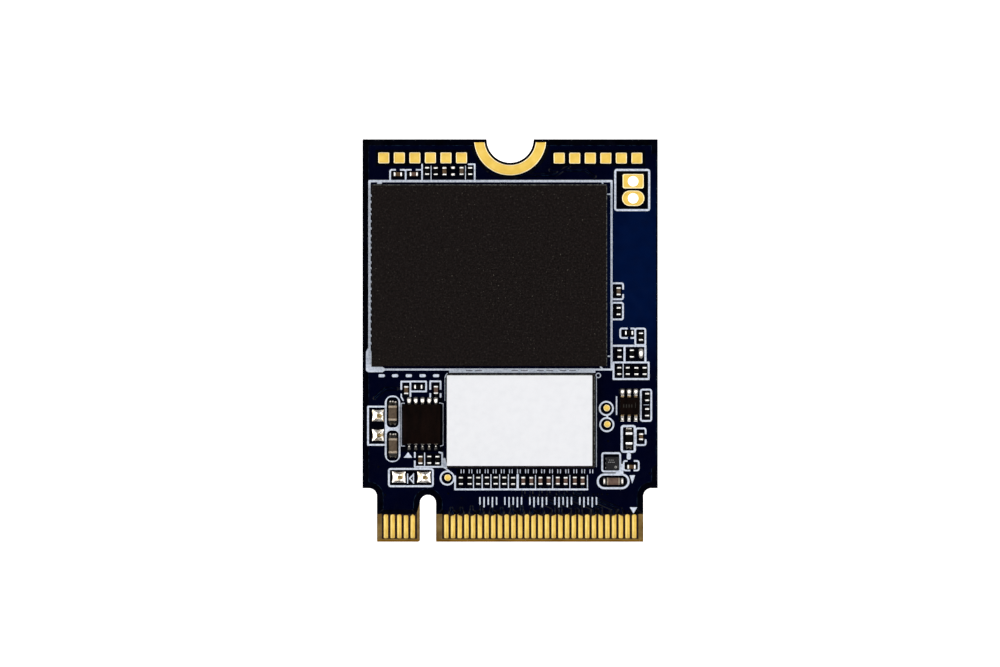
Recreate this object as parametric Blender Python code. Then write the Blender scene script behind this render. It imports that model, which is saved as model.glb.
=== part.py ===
"""Solid state drive on a 22 x 30 mm card: a bare M.2 module with one edge connector.

The card lies flat. Its origin is the centre of its underside, +Y runs from the edge connector to the
fixing notch, and +Z points out of the side that carries the chips. Lengths below are in millimetres,
and MM turns them into Blender's metres. Every object is parented to the empty "drive".
"""

import math

import bmesh
import bpy

MM = 0.001

# Card
CARD_WIDTH = 22.0
CARD_LENGTH = 30.0
CARD_THICKNESS = 0.8
COAT = 0.025  # solder mask, and the copper that shows through it
GAP = 0.005  # between solids that touch
LAMINATE_LOW = COAT + GAP
LAMINATE_HIGH = CARD_THICKNESS - COAT - GAP
MOUNTING_LEVEL = CARD_THICKNESS + GAP  # the underside of what is soldered to the card
NOTCH_Y = CARD_LENGTH / 2
EDGE_Y = -CARD_LENGTH / 2
MASK_RIM = 0.1  # the mask stops this far inside the card's outline
TOP_COAT = (CARD_THICKNESS - COAT, CARD_THICKNESS)
THROUGH = (-1.0, 2.0)  # a cutter that passes both faces

# Edge connector
TONGUE_WIDTH = 19.85
TONGUE_LENGTH = 4.0
SHOULDER_RADIUS = 0.6
KEY_X = -6.125
KEY_WIDTH = 1.2
KEY_DEPTH = 3.5
LEAD_IN_LENGTH = 0.2
LEAD_IN_DEPTH = 0.1
CONTACT_PITCH = 0.5
CONTACT_WIDTH = 0.35
CONTACT_TIP_Y = EDGE_Y + 0.2
MASK_END_Y = EDGE_Y + 2.0
CONTACTS_WIDE = 29  # on each face, from the card's +X side to the key
KEYED_PLACES = 4
CONTACTS_NARROW_TOP = 5
CONTACTS_NARROW_BOTTOM = 4
FIRST_TOP_X = 9.25
FIRST_BOTTOM_X = 9.0

# Fixing notch
NOTCH_RADIUS = 1.75
RING_INNER = 1.86
RING_OUTER = 2.72
RING_MASK_RADIUS = 2.78
RING_PULL_BACK = 0.15  # the ring stops this far short of the card's end

# Copper pads
PAD_MARGIN = 0.05  # the mask's opening is this much larger than the pad on each side
TIE_WIDTH = 0.16  # copper bar in the laminate that joins a row of pads
TIE_DEPTH = 0.035
TEST_PAD = 0.88
TEST_PAD_PITCH = 1.158
TEST_PAD_FIRST_X = 3.67
TEST_PAD_Y = 13.65
TEST_PADS_EACH_SIDE = 6
TEST_POINT_RADIUS = 0.28
TEST_POINTS = {
    "test_point_left": (-4.63, -10.26),
    "test_point_upper": (7.22, -5.07),
    "test_point_lower": (7.26, -6.28),
}
STRAP_PAD = (0.9, 0.92)
STRAP_PAD_CENTRES = [(-9.89, -5.62), (-9.89, -7.07)]
DIODE_PAD = (1.04, 0.86)
DIODE_PAD_CENTRES = [(-8.3, -10.25), (-6.43, -10.25)]

# Two plated holes for a header
HEADER_X = 9.17
HEADER_SQUARE_Y = 11.87
HEADER_OVAL_Y = 10.6
HEADER_HOLE_RADIUS = 0.41
HEADER_BARREL_RADIUS = 0.46
HEADER_PAD_SQUARE = (1.63, 1.12)
HEADER_PAD_OVAL = (1.73, 1.2)
HEADER_MARGIN = 0.03

# Ball grid packages
BALL_RADIUS = 0.18
SUBSTRATE_THICKNESS = 0.2
POCKET_MARGIN = 0.01  # round a die, inside the moulding

# Memory package: dies in a staircase under one moulding
MEMORY_CENTRE = (-1.55, 4.85)
MEMORY_SIZE = (17.5, 13.5)
MEMORY_STANDOFF = 0.22
MEMORY_HIGH = 1.95
MEMORY_BALL_PITCH = 1.0
MEMORY_DIES = 4
MEMORY_DIE = (12.0, 9.0, 0.09)
MEMORY_DIE_STEP = 0.35

# Controller package, with a paper label
CONTROLLER_CENTRE = (0.8, -5.97)
CONTROLLER_SIZE = (11.0, 7.0)
CONTROLLER_STANDOFF = 0.18
CONTROLLER_HIGH = 1.78
CONTROLLER_BALL_PITCH = 0.6
CONTROLLER_DIE = (4.4, 3.8, 0.3)
LABEL_CENTRE = (0.78, -5.95)
LABEL_SIZE = (10.76, 6.82)
LABEL_THICKNESS = 0.06

# Power chip: a flat package with five leads along its upper edge and five along its lower edge
POWER_CENTRE = (-6.56, -6.28)
POWER_SIZE = (3.05, 2.95)
POWER_HIGH = 1.6
POWER_HEAT_PAD = (2.3, 1.6)
POWER_LEADS = 5
POWER_LEAD_WIDTH = 0.26
POWER_LEAD_REACH = {"upper": 0.5, "lower": 0.42}

# Logic chip: a small package with three leads on each long edge
LOGIC_CENTRE = (8.9, -4.93)
LOGIC_SIZE = (1.5, 1.24)
LOGIC_HIGH = 1.38
LOGIC_LEADS = 3
LOGIC_LEAD_WIDTH = 0.22
LOGIC_LEAD_REACH = {"upper": 0.65, "lower": 0.48}

LEAD_THICKNESS = 0.15
LEAD_PITCH = 0.5
LEAD_TUCK = 0.35  # how far a lead runs under its body
COMB_BAR = 0.1

SENSOR_CENTRE = (7.6, -9.14)
SENSOR_SIZE = (1.12, 1.12, 0.42)

SOLDER_BRIDGE_CENTRE = (9.74, -0.97)
SOLDER_BRIDGE_SIZE = (0.42, 0.74, 0.14)

# Chip components: length, width, height and the length of each end cap
COMPONENT_KINDS = {
    "capacitor": (0.62, 0.32, 0.32, 0.15),
    "resistor": (0.62, 0.32, 0.24, 0.14),
    "bulk_capacitor": (1.14, 0.62, 0.58, 0.24),
    "output_capacitor": (1.0, 0.54, 0.52, 0.22),
    "ferrite_bead": (1.0, 0.5, 0.42, 0.22),
}
CAP_PROUD = 0.012  # how far the end caps stand out from the body

# Kind, centre, and the way the component's length runs
COMPONENTS = {
    "input_capacitor_upper": ("bulk_capacitor", -8.77, -5.44, "Y"),
    "input_capacitor_lower": ("bulk_capacitor", -8.77, -7.87, "Y"),
    "output_capacitor": ("output_capacitor", 7.72, -10.54, "X"),
    "ferrite_bead": ("ferrite_bead", 8.89, -7.33, "Y"),
    "capacitor_top_1": ("capacitor", -8.36, 12.38, "X"),
    "capacitor_top_2": ("capacitor", -7.18, 12.38, "X"),
    "capacitor_right_1": ("capacitor", 8.08, 3.68, "Y"),
    "resistor_right_2": ("resistor", 8.08, 2.18, "Y"),
    "resistor_right_3": ("resistor", 8.86, 0.58, "X"),
    "resistor_right_4": ("resistor", 9.74, 0.3, "Y"),
    "resistor_right_5": ("resistor", 8.14, -0.97, "Y"),
    "resistor_right_6": ("resistor", 9.06, -0.97, "Y"),
    "resistor_side_upper": ("resistor", 10.21, -4.21, "Y"),
    "resistor_side_lower": ("resistor", 10.21, -5.35, "Y"),
    "capacitor_side": ("capacitor", 9.79, -7.2, "Y"),
    "capacitor_corner": ("capacitor", 9.04, -9.4, "X"),
    "capacitor_left_1": ("capacitor", -7.74, -3.7, "Y"),
    "resistor_left_2": ("resistor", -6.83, -3.45, "X"),
    "capacitor_left_3": ("capacitor", -5.53, -3.68, "Y"),
    "capacitor_left_4": ("capacitor", -6.69, -8.89, "Y"),
    "resistor_left_5": ("resistor", -6.01, -8.88, "Y"),
    "resistor_left_6": ("resistor", -5.43, -8.88, "Y"),
}

# Rows of upright components: y, first x, pitch, and a letter for each place (- is an empty one)
COMPONENT_ROWS = {
    "component_row_top": (12.62, -6.18, 0.642, "RRC-CR"),
    "resistor_row_right": (-2.26, 8.13, 0.63, "RRRR"),
    "resistor_row_lower": (-10.48, -3.66, 0.645, "RRRRRRR"),
}
CAPACITOR_PAIRS = 4
CAPACITOR_PAIRS_START = (0.99, -10.48)
CAPACITOR_PAIR_PITCH = 1.275
CAPACITOR_PAIR_GAUGE = 0.585
ROW_STRIP = (0.2, 0.02)  # width and thickness of the strip that makes one body of a row


def material(name, colour, roughness, metallic=0.0):
    made = bpy.data.materials.new(name)
    made.use_nodes = True
    shader = made.node_tree.nodes["Principled BSDF"]
    shader.inputs["Base Color"].default_value = (*colour, 1.0)
    shader.inputs["Roughness"].default_value = roughness
    shader.inputs["Metallic"].default_value = metallic
    return made


def place(name, shape, at):
    """An object at a point of the card, from a bmesh in millimetres that is drawn round that point."""
    bmesh.ops.recalc_face_normals(shape, faces=shape.faces)
    bmesh.ops.scale(shape, vec=(MM, MM, MM), verts=shape.verts)
    mesh = bpy.data.meshes.new(name)
    shape.to_mesh(mesh)
    shape.free()
    placed = bpy.data.objects.new(name, mesh)
    placed.location = [MM * value for value in at]
    placed.parent = bpy.data.objects["drive"]
    bpy.context.scene.collection.objects.link(placed)
    return placed


def make_part(name, shape, finish, at=(0, 0, 0)):
    part = place(name, shape, at)
    part.data.materials.append(finish)
    return part


def change(part, operation, *shapes):
    """Joins each bmesh to the part (UNION), or takes it away (DIFFERENCE)."""
    for shape in shapes:
        helper = place(f"{part.name}.{operation.lower()}", shape, part.location / MM)
        helper.hide_render = True
        helper.display_type = "WIRE"
        modifier = part.modifiers.new(operation.title(), "BOOLEAN")
        modifier.operation = operation
        modifier.solver = "EXACT"
        modifier.object = helper


def prism(outline, low, high, into=None):
    """The outline, a list of (x, y), stood up from z low to z high."""
    shape = into or bmesh.new()
    bottom = [shape.verts.new((x, y, low)) for x, y in outline]
    top = [shape.verts.new((x, y, high)) for x, y in outline]
    shape.faces.new(reversed(bottom))
    shape.faces.new(top)
    for i in range(len(outline)):
        j = (i + 1) % len(outline)
        shape.faces.new((bottom[i], bottom[j], top[j], top[i]))
    return shape


def prisms(outlines, low, high):
    """Several separate prisms in one bmesh."""
    shape = bmesh.new()
    for outline in outlines:
        prism(outline, low, high, shape)
    return shape


def rectangle(width, length, x=0, y=0):
    return [
        (x - width / 2, y - length / 2),
        (x + width / 2, y - length / 2),
        (x + width / 2, y + length / 2),
        (x - width / 2, y + length / 2),
    ]


def arc(x, y, radius, start, end, steps):
    """Points from start to end, in degrees, on a circle round (x, y)."""
    turns = [math.radians(start + (end - start) * i / steps) for i in range(steps + 1)]
    return [(x + radius * math.cos(t), y + radius * math.sin(t)) for t in turns]


def circle(radius, x=0, y=0, steps=20):
    return arc(x, y, radius, 0, 360, steps)[:-1]


def stadium(width, length, x=0, y=0):
    """A rectangle whose ends, at -X and +X, are half circles."""
    radius = length / 2
    reach = width / 2 - radius
    return arc(x + reach, y, radius, -90, 90, 8) + arc(x - reach, y, radius, 90, 270, 8)


def moved(outline, x, y):
    return [(x + px, y + py) for px, py in outline]


def below(layer):
    """The same layer on the card's underside."""
    low, high = layer
    return CARD_THICKNESS - high, CARD_THICKNESS - low


def card_outline(inset, notch_radius, end_y):
    """The card's outline anticlockwise from its fixing end, moved in by inset and cut off at end_y."""
    side = CARD_WIDTH / 2 - inset
    fixing = NOTCH_Y - inset
    tongue = TONGUE_WIDTH / 2 - inset
    shoulder_x = TONGUE_WIDTH / 2 + SHOULDER_RADIUS
    shoulder_y = EDGE_Y + TONGUE_LENGTH - SHOULDER_RADIUS
    fillet = SHOULDER_RADIUS + inset
    key_radius = KEY_WIDTH / 2 + inset
    key_y = EDGE_Y + KEY_DEPTH - KEY_WIDTH / 2
    notch_start = math.degrees(math.asin(inset / notch_radius))
    return [
        (side, fixing),
        *arc(0, NOTCH_Y, notch_radius, -notch_start, -180 + notch_start, 24),
        (-side, fixing),
        (-side, shoulder_y + fillet),
        *arc(-shoulder_x, shoulder_y, fillet, 90, 0, 5),
        (-tongue, end_y),
        (KEY_X - key_radius, end_y),
        *arc(KEY_X, key_y, key_radius, 180, 0, 10),
        (KEY_X + key_radius, end_y),
        (tongue, end_y),
        *arc(shoulder_x, shoulder_y, fillet, 180, 90, 5),
        (side, shoulder_y + fillet),
    ]


def ring_outline():
    """The copper ring round the notch, drawn round the notch's centre."""
    outer = math.degrees(math.asin(RING_PULL_BACK / RING_OUTER))
    inner = math.degrees(math.asin(RING_PULL_BACK / RING_INNER))
    outside = arc(0, 0, RING_OUTER, 180 + outer, 360 - outer, 24)
    inside = arc(0, 0, RING_INNER, 360 - inner, 180 + inner, 24)
    return outside + inside


def lead_in(level, outward):
    """A wedge that bevels the connector's end at one face. outward is 1 on top and -1 below."""
    slope = LEAD_IN_DEPTH / LEAD_IN_LENGTH
    reach = 0.4
    profile = [
        (LEAD_IN_LENGTH + reach, slope * reach),
        (-reach, -LEAD_IN_DEPTH - slope * reach),
        (-reach, slope * reach),
    ]
    shape = bmesh.new()
    ends = [
        [shape.verts.new((x, EDGE_Y + y, level + outward * z)) for y, z in profile]
        for x in (-CARD_WIDTH, CARD_WIDTH)
    ]
    shape.faces.new(ends[0])
    shape.faces.new(reversed(ends[1]))
    for i in range(len(profile)):
        j = (i + 1) % len(profile)
        shape.faces.new((ends[0][j], ends[0][i], ends[1][i], ends[1][j]))
    return shape


def header_outline(y, margin=0.0):
    """One header pad drawn round its hole: the first is square-cornered, the other round-ended."""
    if y == HEADER_SQUARE_Y:
        width, length = HEADER_PAD_SQUARE
        return rectangle(width + 2 * margin, length + 2 * margin)
    width, length = HEADER_PAD_OVAL
    return stadium(width + 2 * margin, length + 2 * margin)


def contact_centres(first_x, start, count):
    """The centres of count contacts, after the first start places from the card's +X side."""
    y = (CONTACT_TIP_Y + MASK_END_Y - GAP) / 2
    return [(first_x - CONTACT_PITCH * (start + i), y) for i in range(count)]


def pad_rows():
    """Every row of pads that a bar in the laminate joins: name, pad size, centres, face, finish."""
    contact = (CONTACT_WIDTH, MASK_END_Y - GAP - CONTACT_TIP_Y)
    after_key = CONTACTS_WIDE + KEYED_PLACES
    top_wide = contact_centres(FIRST_TOP_X, 0, CONTACTS_WIDE)
    top_narrow = contact_centres(FIRST_TOP_X, after_key, CONTACTS_NARROW_TOP)
    bottom_wide = contact_centres(FIRST_BOTTOM_X, 0, CONTACTS_WIDE)
    bottom_narrow = contact_centres(FIRST_BOTTOM_X, after_key, CONTACTS_NARROW_BOTTOM)
    test_xs = [TEST_PAD_FIRST_X + TEST_PAD_PITCH * i for i in range(TEST_PADS_EACH_SIDE)]
    test_left = [(-x, TEST_PAD_Y) for x in test_xs]
    test_right = [(x, TEST_PAD_Y) for x in test_xs]
    test = (TEST_PAD, TEST_PAD)
    return [
        ("edge_contacts_top_wide", contact, top_wide, "top", "gold"),
        ("edge_contacts_top_narrow", contact, top_narrow, "top", "gold"),
        ("edge_contacts_bottom_wide", contact, bottom_wide, "bottom", "gold"),
        ("edge_contacts_bottom_narrow", contact, bottom_narrow, "bottom", "gold"),
        ("test_pads_left", test, test_left, "top", "gold"),
        ("test_pads_right", test, test_right, "top", "gold"),
        ("strap_pads", STRAP_PAD, STRAP_PAD_CENTRES, "top", "tin"),
        ("diode_pads", DIODE_PAD, DIODE_PAD_CENTRES, "top", "tin"),
    ]


def is_contact_row(name):
    return name.startswith("edge_contacts")


def tie_outline(name, centres, margin=0.0):
    """The bar that runs from the first pad of a row to its last."""
    xs = [x for x, _ in centres]
    ys = [y for _, y in centres]
    y = (min(ys) + max(ys)) / 2
    if is_contact_row(name):
        y = MASK_END_Y - TIE_WIDTH
    width = max(xs) - min(xs) + TIE_WIDTH + 2 * margin
    length = max(ys) - min(ys) + TIE_WIDTH + 2 * margin
    return rectangle(width, length, (min(xs) + max(xs)) / 2, y)


def make_pad_row(name, size, centres, face, finish):
    """Pads on one face, each with a stub down to the bar that is sunk in the laminate."""
    tie = (LAMINATE_HIGH - TIE_DEPTH + GAP, LAMINATE_HIGH - GAP)
    stub = (LAMINATE_HIGH - 3 * GAP, CARD_THICKNESS - COAT / 2)
    pad = TOP_COAT
    if face == "bottom":
        tie, stub, pad = below(tie), below(stub), below(pad)
    stub_side = TIE_WIDTH * 0.8
    stub_ys = [MASK_END_Y - TIE_WIDTH if is_contact_row(name) else y for _, y in centres]
    stubs = [rectangle(stub_side, stub_side, x, y) for (x, _), y in zip(centres, stub_ys)]
    pads = [rectangle(*size, x, y) for x, y in centres]
    row = make_part(name, prism(tie_outline(name, centres), *tie), finish)
    change(row, "UNION", prisms(stubs, *stub), prisms(pads, *pad))


def make_card(finishes):
    """The laminate, and a solder mask on each face. The lower mask is let into the laminate."""
    laminate = make_part(
        "circuit_board",
        prism(card_outline(0, NOTCH_RADIUS, EDGE_Y), 0, LAMINATE_HIGH),
        finishes["laminate"],
    )
    lower = (THROUGH[0], LAMINATE_LOW)
    seat = card_outline(MASK_RIM - GAP, NOTCH_RADIUS + MASK_RIM, MASK_END_Y - GAP)
    connector = rectangle(2 * CARD_WIDTH, 2 * (MASK_END_Y - EDGE_Y), 0, EDGE_Y)
    barrels = [
        circle(HEADER_BARREL_RADIUS + GAP, HEADER_X, y) for y in (HEADER_SQUARE_Y, HEADER_OVAL_Y)
    ]
    change(laminate, "DIFFERENCE", prism(seat, *lower), prism(connector, *lower))
    change(laminate, "DIFFERENCE", prisms(barrels, *THROUGH))
    change(laminate, "DIFFERENCE", lead_in(LAMINATE_HIGH, 1), lead_in(LAMINATE_LOW, -1))

    header_openings = [
        moved(header_outline(y, HEADER_MARGIN), HEADER_X, y)
        for y in (HEADER_SQUARE_Y, HEADER_OVAL_Y)
    ]
    test_openings = [circle(TEST_POINT_RADIUS + PAD_MARGIN, x, y) for x, y in TEST_POINTS.values()]
    pad_openings = []
    for name, size, centres, face, _ in pad_rows():
        bar = (LAMINATE_HIGH - TIE_DEPTH, THROUGH[1])
        if face == "bottom":
            bar = below(bar)
        change(laminate, "DIFFERENCE", prism(tie_outline(name, centres, GAP), *bar))
        if not is_contact_row(name):
            width, length = (side + 2 * PAD_MARGIN for side in size)
            pad_openings += [rectangle(width, length, x, y) for x, y in centres]

    mask = card_outline(MASK_RIM, RING_MASK_RADIUS, MASK_END_Y)
    for name, layer, openings in (
        ("solder_mask_top", TOP_COAT, pad_openings + header_openings + test_openings),
        ("solder_mask_bottom", below(TOP_COAT), header_openings),
    ):
        coat = make_part(name, prism(mask, *layer), finishes["mask"])
        change(coat, "DIFFERENCE", prisms(openings, *THROUGH))


def make_copper(finishes):
    """The areas of bare copper, gold plated or tinned, and the two plated holes."""
    notch = (0, NOTCH_Y, 0)
    for name, layer in (("mounting_pad_top", TOP_COAT), ("mounting_pad_bottom", below(TOP_COAT))):
        make_part(name, prism(ring_outline(), *layer), finishes["gold"], notch)
    for name, size, centres, face, finish in pad_rows():
        make_pad_row(name, size, centres, face, finishes[finish])
    for name, (x, y) in TEST_POINTS.items():
        make_part(name, prism(circle(TEST_POINT_RADIUS), *TOP_COAT), finishes["gold"], (x, y, 0))
    barrel = (COAT / 2, CARD_THICKNESS - COAT / 2)
    for name, y in (("plated_hole_square", HEADER_SQUARE_Y), ("plated_hole_oval", HEADER_OVAL_Y)):
        pad = header_outline(y)
        eyelet = make_part(name, prism(pad, *TOP_COAT), finishes["gold"], (HEADER_X, y, 0))
        change(eyelet, "UNION", prism(circle(HEADER_BARREL_RADIUS), *barrel))
        change(eyelet, "UNION", prism(pad, *below(TOP_COAT)))
        change(eyelet, "DIFFERENCE", prism(circle(HEADER_HOLE_RADIUS), *THROUGH))


def make_ball_grid_package(name, centre, size, standoff, high, pitch, pocket, finishes):
    """A substrate on solder balls, and a moulding whose pocket, open below, clears the die.

    The substrate carries the three balls at each corner of its grid. Returns the die's level.
    """
    standing = (*centre, MOUNTING_LEVEL)
    seat = standoff + SUBSTRATE_THICKNESS
    plan = rectangle(*size)
    substrate = make_part(
        f"{name}_substrate", prism(plan, standoff, seat), finishes["substrate"], standing
    )
    balls = []
    for side_x in (-1, 1):
        for side_y in (-1, 1):
            x = side_x * (size[0] / 2 - pitch)
            y = side_y * (size[1] / 2 - pitch)
            for ball_x, ball_y in ((x, y), (x - side_x * pitch, y), (x, y - side_y * pitch)):
                balls.append(circle(BALL_RADIUS, ball_x, ball_y, 6))
    change(substrate, "UNION", prisms(balls, 0, standoff + GAP))
    moulding = make_part(
        f"{name}_moulding",
        prism(plan, seat + GAP, high - MOUNTING_LEVEL),
        finishes["moulding"],
        standing,
    )
    width, length, depth = pocket
    hollow = rectangle(width + 2 * POCKET_MARGIN, length + 2 * POCKET_MARGIN)
    change(moulding, "DIFFERENCE", prism(hollow, standoff, seat + depth + 2 * POCKET_MARGIN))
    return MOUNTING_LEVEL + seat + GAP


def make_memory(finishes):
    """The flash memory: four dies, each stepped along from the one below."""
    length, width, thickness = MEMORY_DIE
    reach = length + MEMORY_DIE_STEP * (MEMORY_DIES - 1)
    floor = make_ball_grid_package(
        "memory",
        MEMORY_CENTRE,
        MEMORY_SIZE,
        MEMORY_STANDOFF,
        MEMORY_HIGH,
        MEMORY_BALL_PITCH,
        (reach, width, thickness * MEMORY_DIES),
        finishes,
    )
    left_side = []
    right_side = []
    for i in range(MEMORY_DIES):
        x = MEMORY_DIE_STEP * i - reach / 2
        left_side += [(x, thickness * i), (x, thickness * (i + 1))]
        right_side += [(x + length, thickness * i), (x + length, thickness * (i + 1))]
    stack = prism(right_side + left_side[::-1], -width / 2, width / 2)
    for vertex in stack.verts:
        across, up, along = vertex.co
        vertex.co = (across, along, up)
    make_part("memory_die_stack", stack, finishes["silicon"], (*MEMORY_CENTRE, floor))


def make_controller(finishes):
    """The controller, its die and the paper label on its back."""
    floor = make_ball_grid_package(
        "controller",
        CONTROLLER_CENTRE,
        CONTROLLER_SIZE,
        CONTROLLER_STANDOFF,
        CONTROLLER_HIGH,
        CONTROLLER_BALL_PITCH,
        CONTROLLER_DIE,
        finishes,
    )
    width, length, thickness = CONTROLLER_DIE
    die = prism(rectangle(width, length), 0, thickness)
    make_part("controller_die", die, finishes["silicon"], (*CONTROLLER_CENTRE, floor))
    label = prism(rectangle(*LABEL_SIZE), GAP, LABEL_THICKNESS)
    make_part("controller_label", label, finishes["label"], (*LABEL_CENTRE, CONTROLLER_HIGH))


def make_lead_comb(name, centre, half_length, outward, count, width, reach, finish):
    """Leads on one edge of a body, joined by a bar under it. outward is 1 where they point to +Y."""
    plan = rectangle(width, LEAD_TUCK + reach, 0, outward * (reach - LEAD_TUCK) / 2)
    xs = [LEAD_PITCH * (i - (count - 1) / 2) for i in range(count)]
    bar = rectangle(xs[-1] - xs[0] + width / 2, COMB_BAR, 0, outward * (COMB_BAR - LEAD_TUCK))
    edge = (centre[0], centre[1] + outward * half_length, MOUNTING_LEVEL)
    comb = make_part(name, prism(bar, GAP, LEAD_THICKNESS - GAP), finish, edge)
    change(comb, "UNION", prisms([moved(plan, x, 0) for x in xs], 0, LEAD_THICKNESS))


def make_leaded_chip(name, centre, size, high, count, width, reaches, finishes):
    body = prism(rectangle(*size), LEAD_THICKNESS + GAP, high - MOUNTING_LEVEL)
    make_part(f"{name}_body", body, finishes["moulding"], (*centre, MOUNTING_LEVEL))
    for edge, outward in (("upper", 1), ("lower", -1)):
        make_lead_comb(
            f"{name}_leads_{edge}",
            centre,
            size[1] / 2,
            outward,
            count,
            width,
            reaches[edge],
            finishes["tin"],
        )


def make_small_chips(finishes):
    """The power chip, the six-lead logic chip and the temperature sensor."""
    make_leaded_chip(
        "power_chip",
        POWER_CENTRE,
        POWER_SIZE,
        POWER_HIGH,
        POWER_LEADS,
        POWER_LEAD_WIDTH,
        POWER_LEAD_REACH,
        finishes,
    )
    heat_pad = prism(rectangle(*POWER_HEAT_PAD), 0, LEAD_THICKNESS)
    make_part("power_chip_heat_pad", heat_pad, finishes["tin"], (*POWER_CENTRE, MOUNTING_LEVEL))
    make_leaded_chip(
        "logic_chip",
        LOGIC_CENTRE,
        LOGIC_SIZE,
        LOGIC_HIGH,
        LOGIC_LEADS,
        LOGIC_LEAD_WIDTH,
        LOGIC_LEAD_REACH,
        finishes,
    )
    width, length, height = SENSOR_SIZE
    sensor = prism(rectangle(width, length), 0, height)
    make_part("temperature_sensor", sensor, finishes["moulding"], (*SENSOR_CENTRE, MOUNTING_LEVEL))


def capped_bar(kind, runs_along="Y", x=0, y=0, low=0, into=None):
    """A chip component: a bar with an end cap at each end, a little thicker than the bar."""
    length, width, height, cap = COMPONENT_KINDS[kind]
    shape = into or bmesh.new()
    stations = [
        (-length / 2, 0),
        (-length / 2 + cap, 0),
        (-length / 2 + cap, CAP_PROUD),
        (length / 2 - cap, CAP_PROUD),
        (length / 2 - cap, 0),
        (length / 2, 0),
    ]
    rings = []
    for along, inset in stations:
        half = width / 2 - inset
        corners = [(-half, inset), (half, inset), (half, height - inset), (-half, height - inset)]
        ring = []
        for across, up in corners:
            dx, dy = (across, along) if runs_along == "Y" else (along, across)
            ring.append(shape.verts.new((x + dx, y + dy, low + up)))
        rings.append(ring)
    for ring, following in zip(rings, rings[1:]):
        for i in range(4):
            j = (i + 1) % 4
            shape.faces.new((ring[i], ring[j], following[j], following[i]))
    shape.faces.new(rings[0])
    shape.faces.new(rings[-1])
    return shape


def make_component_row(name, kinds_at, y, finish):
    """Upright components that share a thin strip under them. kinds_at lists each (kind, x)."""
    first, last = kinds_at[0][1], kinds_at[-1][1]
    middle = (first + last) / 2
    strip_width, strip_thickness = ROW_STRIP
    strip = prism(rectangle(last - first + strip_width, strip_width), 0, strip_thickness)
    row = make_part(name, strip, finish, (middle, y, MOUNTING_LEVEL))
    components = bmesh.new()
    for kind, x in kinds_at:
        capped_bar(kind, "Y", x - middle, 0, GAP, components)
    change(row, "UNION", components)


def make_components(finishes):
    """The resistors, capacitors and ferrite bead, and one blob of solder that bridges two pads."""
    for name, (kind, x, y, runs_along) in COMPONENTS.items():
        finish = finishes["ceramic" if "capacitor" in kind else "resistor"]
        make_part(name, capped_bar(kind, runs_along), finish, (x, y, MOUNTING_LEVEL))
    kinds = {"R": "resistor", "C": "capacitor"}
    for name, (y, first_x, pitch, letters) in COMPONENT_ROWS.items():
        kinds_at = [
            (kinds[letter], first_x + pitch * i) for i, letter in enumerate(letters) if letter in kinds
        ]
        make_component_row(name, kinds_at, y, finishes["resistor"])
    first_x, y = CAPACITOR_PAIRS_START
    kinds_at = [
        ("capacitor", first_x + CAPACITOR_PAIR_PITCH * pair + CAPACITOR_PAIR_GAUGE * side)
        for pair in range(CAPACITOR_PAIRS)
        for side in range(2)
    ]
    make_component_row("capacitor_row_lower", kinds_at, y, finishes["ceramic"])
    width, length, height = SOLDER_BRIDGE_SIZE
    bridge = prism(rectangle(width, length), 0, height)
    make_part("solder_bridge", bridge, finishes["tin"], (*SOLDER_BRIDGE_CENTRE, MOUNTING_LEVEL))


def main():
    for existing in list(bpy.data.objects):
        bpy.data.objects.remove(existing)
    drive = bpy.data.objects.new("drive", None)
    bpy.context.scene.collection.objects.link(drive)
    finishes = {
        "laminate": material("laminate", (0.16, 0.105, 0.035), 0.6),
        "mask": material("solder_mask", (0.002, 0.006, 0.05), 0.3),
        "gold": material("gold", (0.86, 0.6, 0.18), 0.3, 1.0),
        "tin": material("tin", (0.75, 0.74, 0.72), 0.35, 1.0),
        "moulding": material("moulding_compound", (0.012, 0.009, 0.008), 0.65),
        "substrate": material("package_substrate", (0.015, 0.05, 0.025), 0.5),
        "silicon": material("silicon", (0.12, 0.12, 0.14), 0.2, 0.6),
        "label": material("label_paper", (0.85, 0.86, 0.88), 0.6),
        "ceramic": material("capacitor_ceramic", (0.16, 0.1, 0.06), 0.5),
        "resistor": material("resistor_coating", (0.02, 0.02, 0.022), 0.45),
    }
    make_card(finishes)
    make_copper(finishes)
    make_memory(finishes)
    make_controller(finishes)
    make_small_chips(finishes)
    make_components(finishes)


main()
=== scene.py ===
import math
import random

import bmesh
import bpy
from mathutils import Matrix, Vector, geometry


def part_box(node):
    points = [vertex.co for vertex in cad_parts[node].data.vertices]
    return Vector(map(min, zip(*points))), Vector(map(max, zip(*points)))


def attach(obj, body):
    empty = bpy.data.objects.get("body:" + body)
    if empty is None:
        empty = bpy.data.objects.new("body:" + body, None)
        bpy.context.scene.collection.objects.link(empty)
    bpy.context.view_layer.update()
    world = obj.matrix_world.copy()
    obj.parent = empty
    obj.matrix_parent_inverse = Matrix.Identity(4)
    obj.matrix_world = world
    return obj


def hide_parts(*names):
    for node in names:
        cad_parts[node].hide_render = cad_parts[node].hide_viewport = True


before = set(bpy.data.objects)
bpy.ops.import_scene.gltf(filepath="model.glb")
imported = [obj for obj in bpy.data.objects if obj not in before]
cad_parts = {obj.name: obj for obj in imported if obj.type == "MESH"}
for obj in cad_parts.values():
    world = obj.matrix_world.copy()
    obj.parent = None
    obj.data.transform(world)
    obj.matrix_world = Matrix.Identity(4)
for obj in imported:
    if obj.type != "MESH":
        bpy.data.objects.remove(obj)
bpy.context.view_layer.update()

# Shapes below are drawn in millimetres on the card: X across it, Y from the edge connector to the
# fixing notch, Z up out of the side with the chips. make_piece turns them into metres.
MM = 0.001


def box_mm(node):
    """The lowest and highest corners of a CAD node."""
    low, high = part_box(node)
    return low / MM, high / MM


def centre_mm(node):
    low, high = box_mm(node)
    return (low + high) / 2


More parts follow.
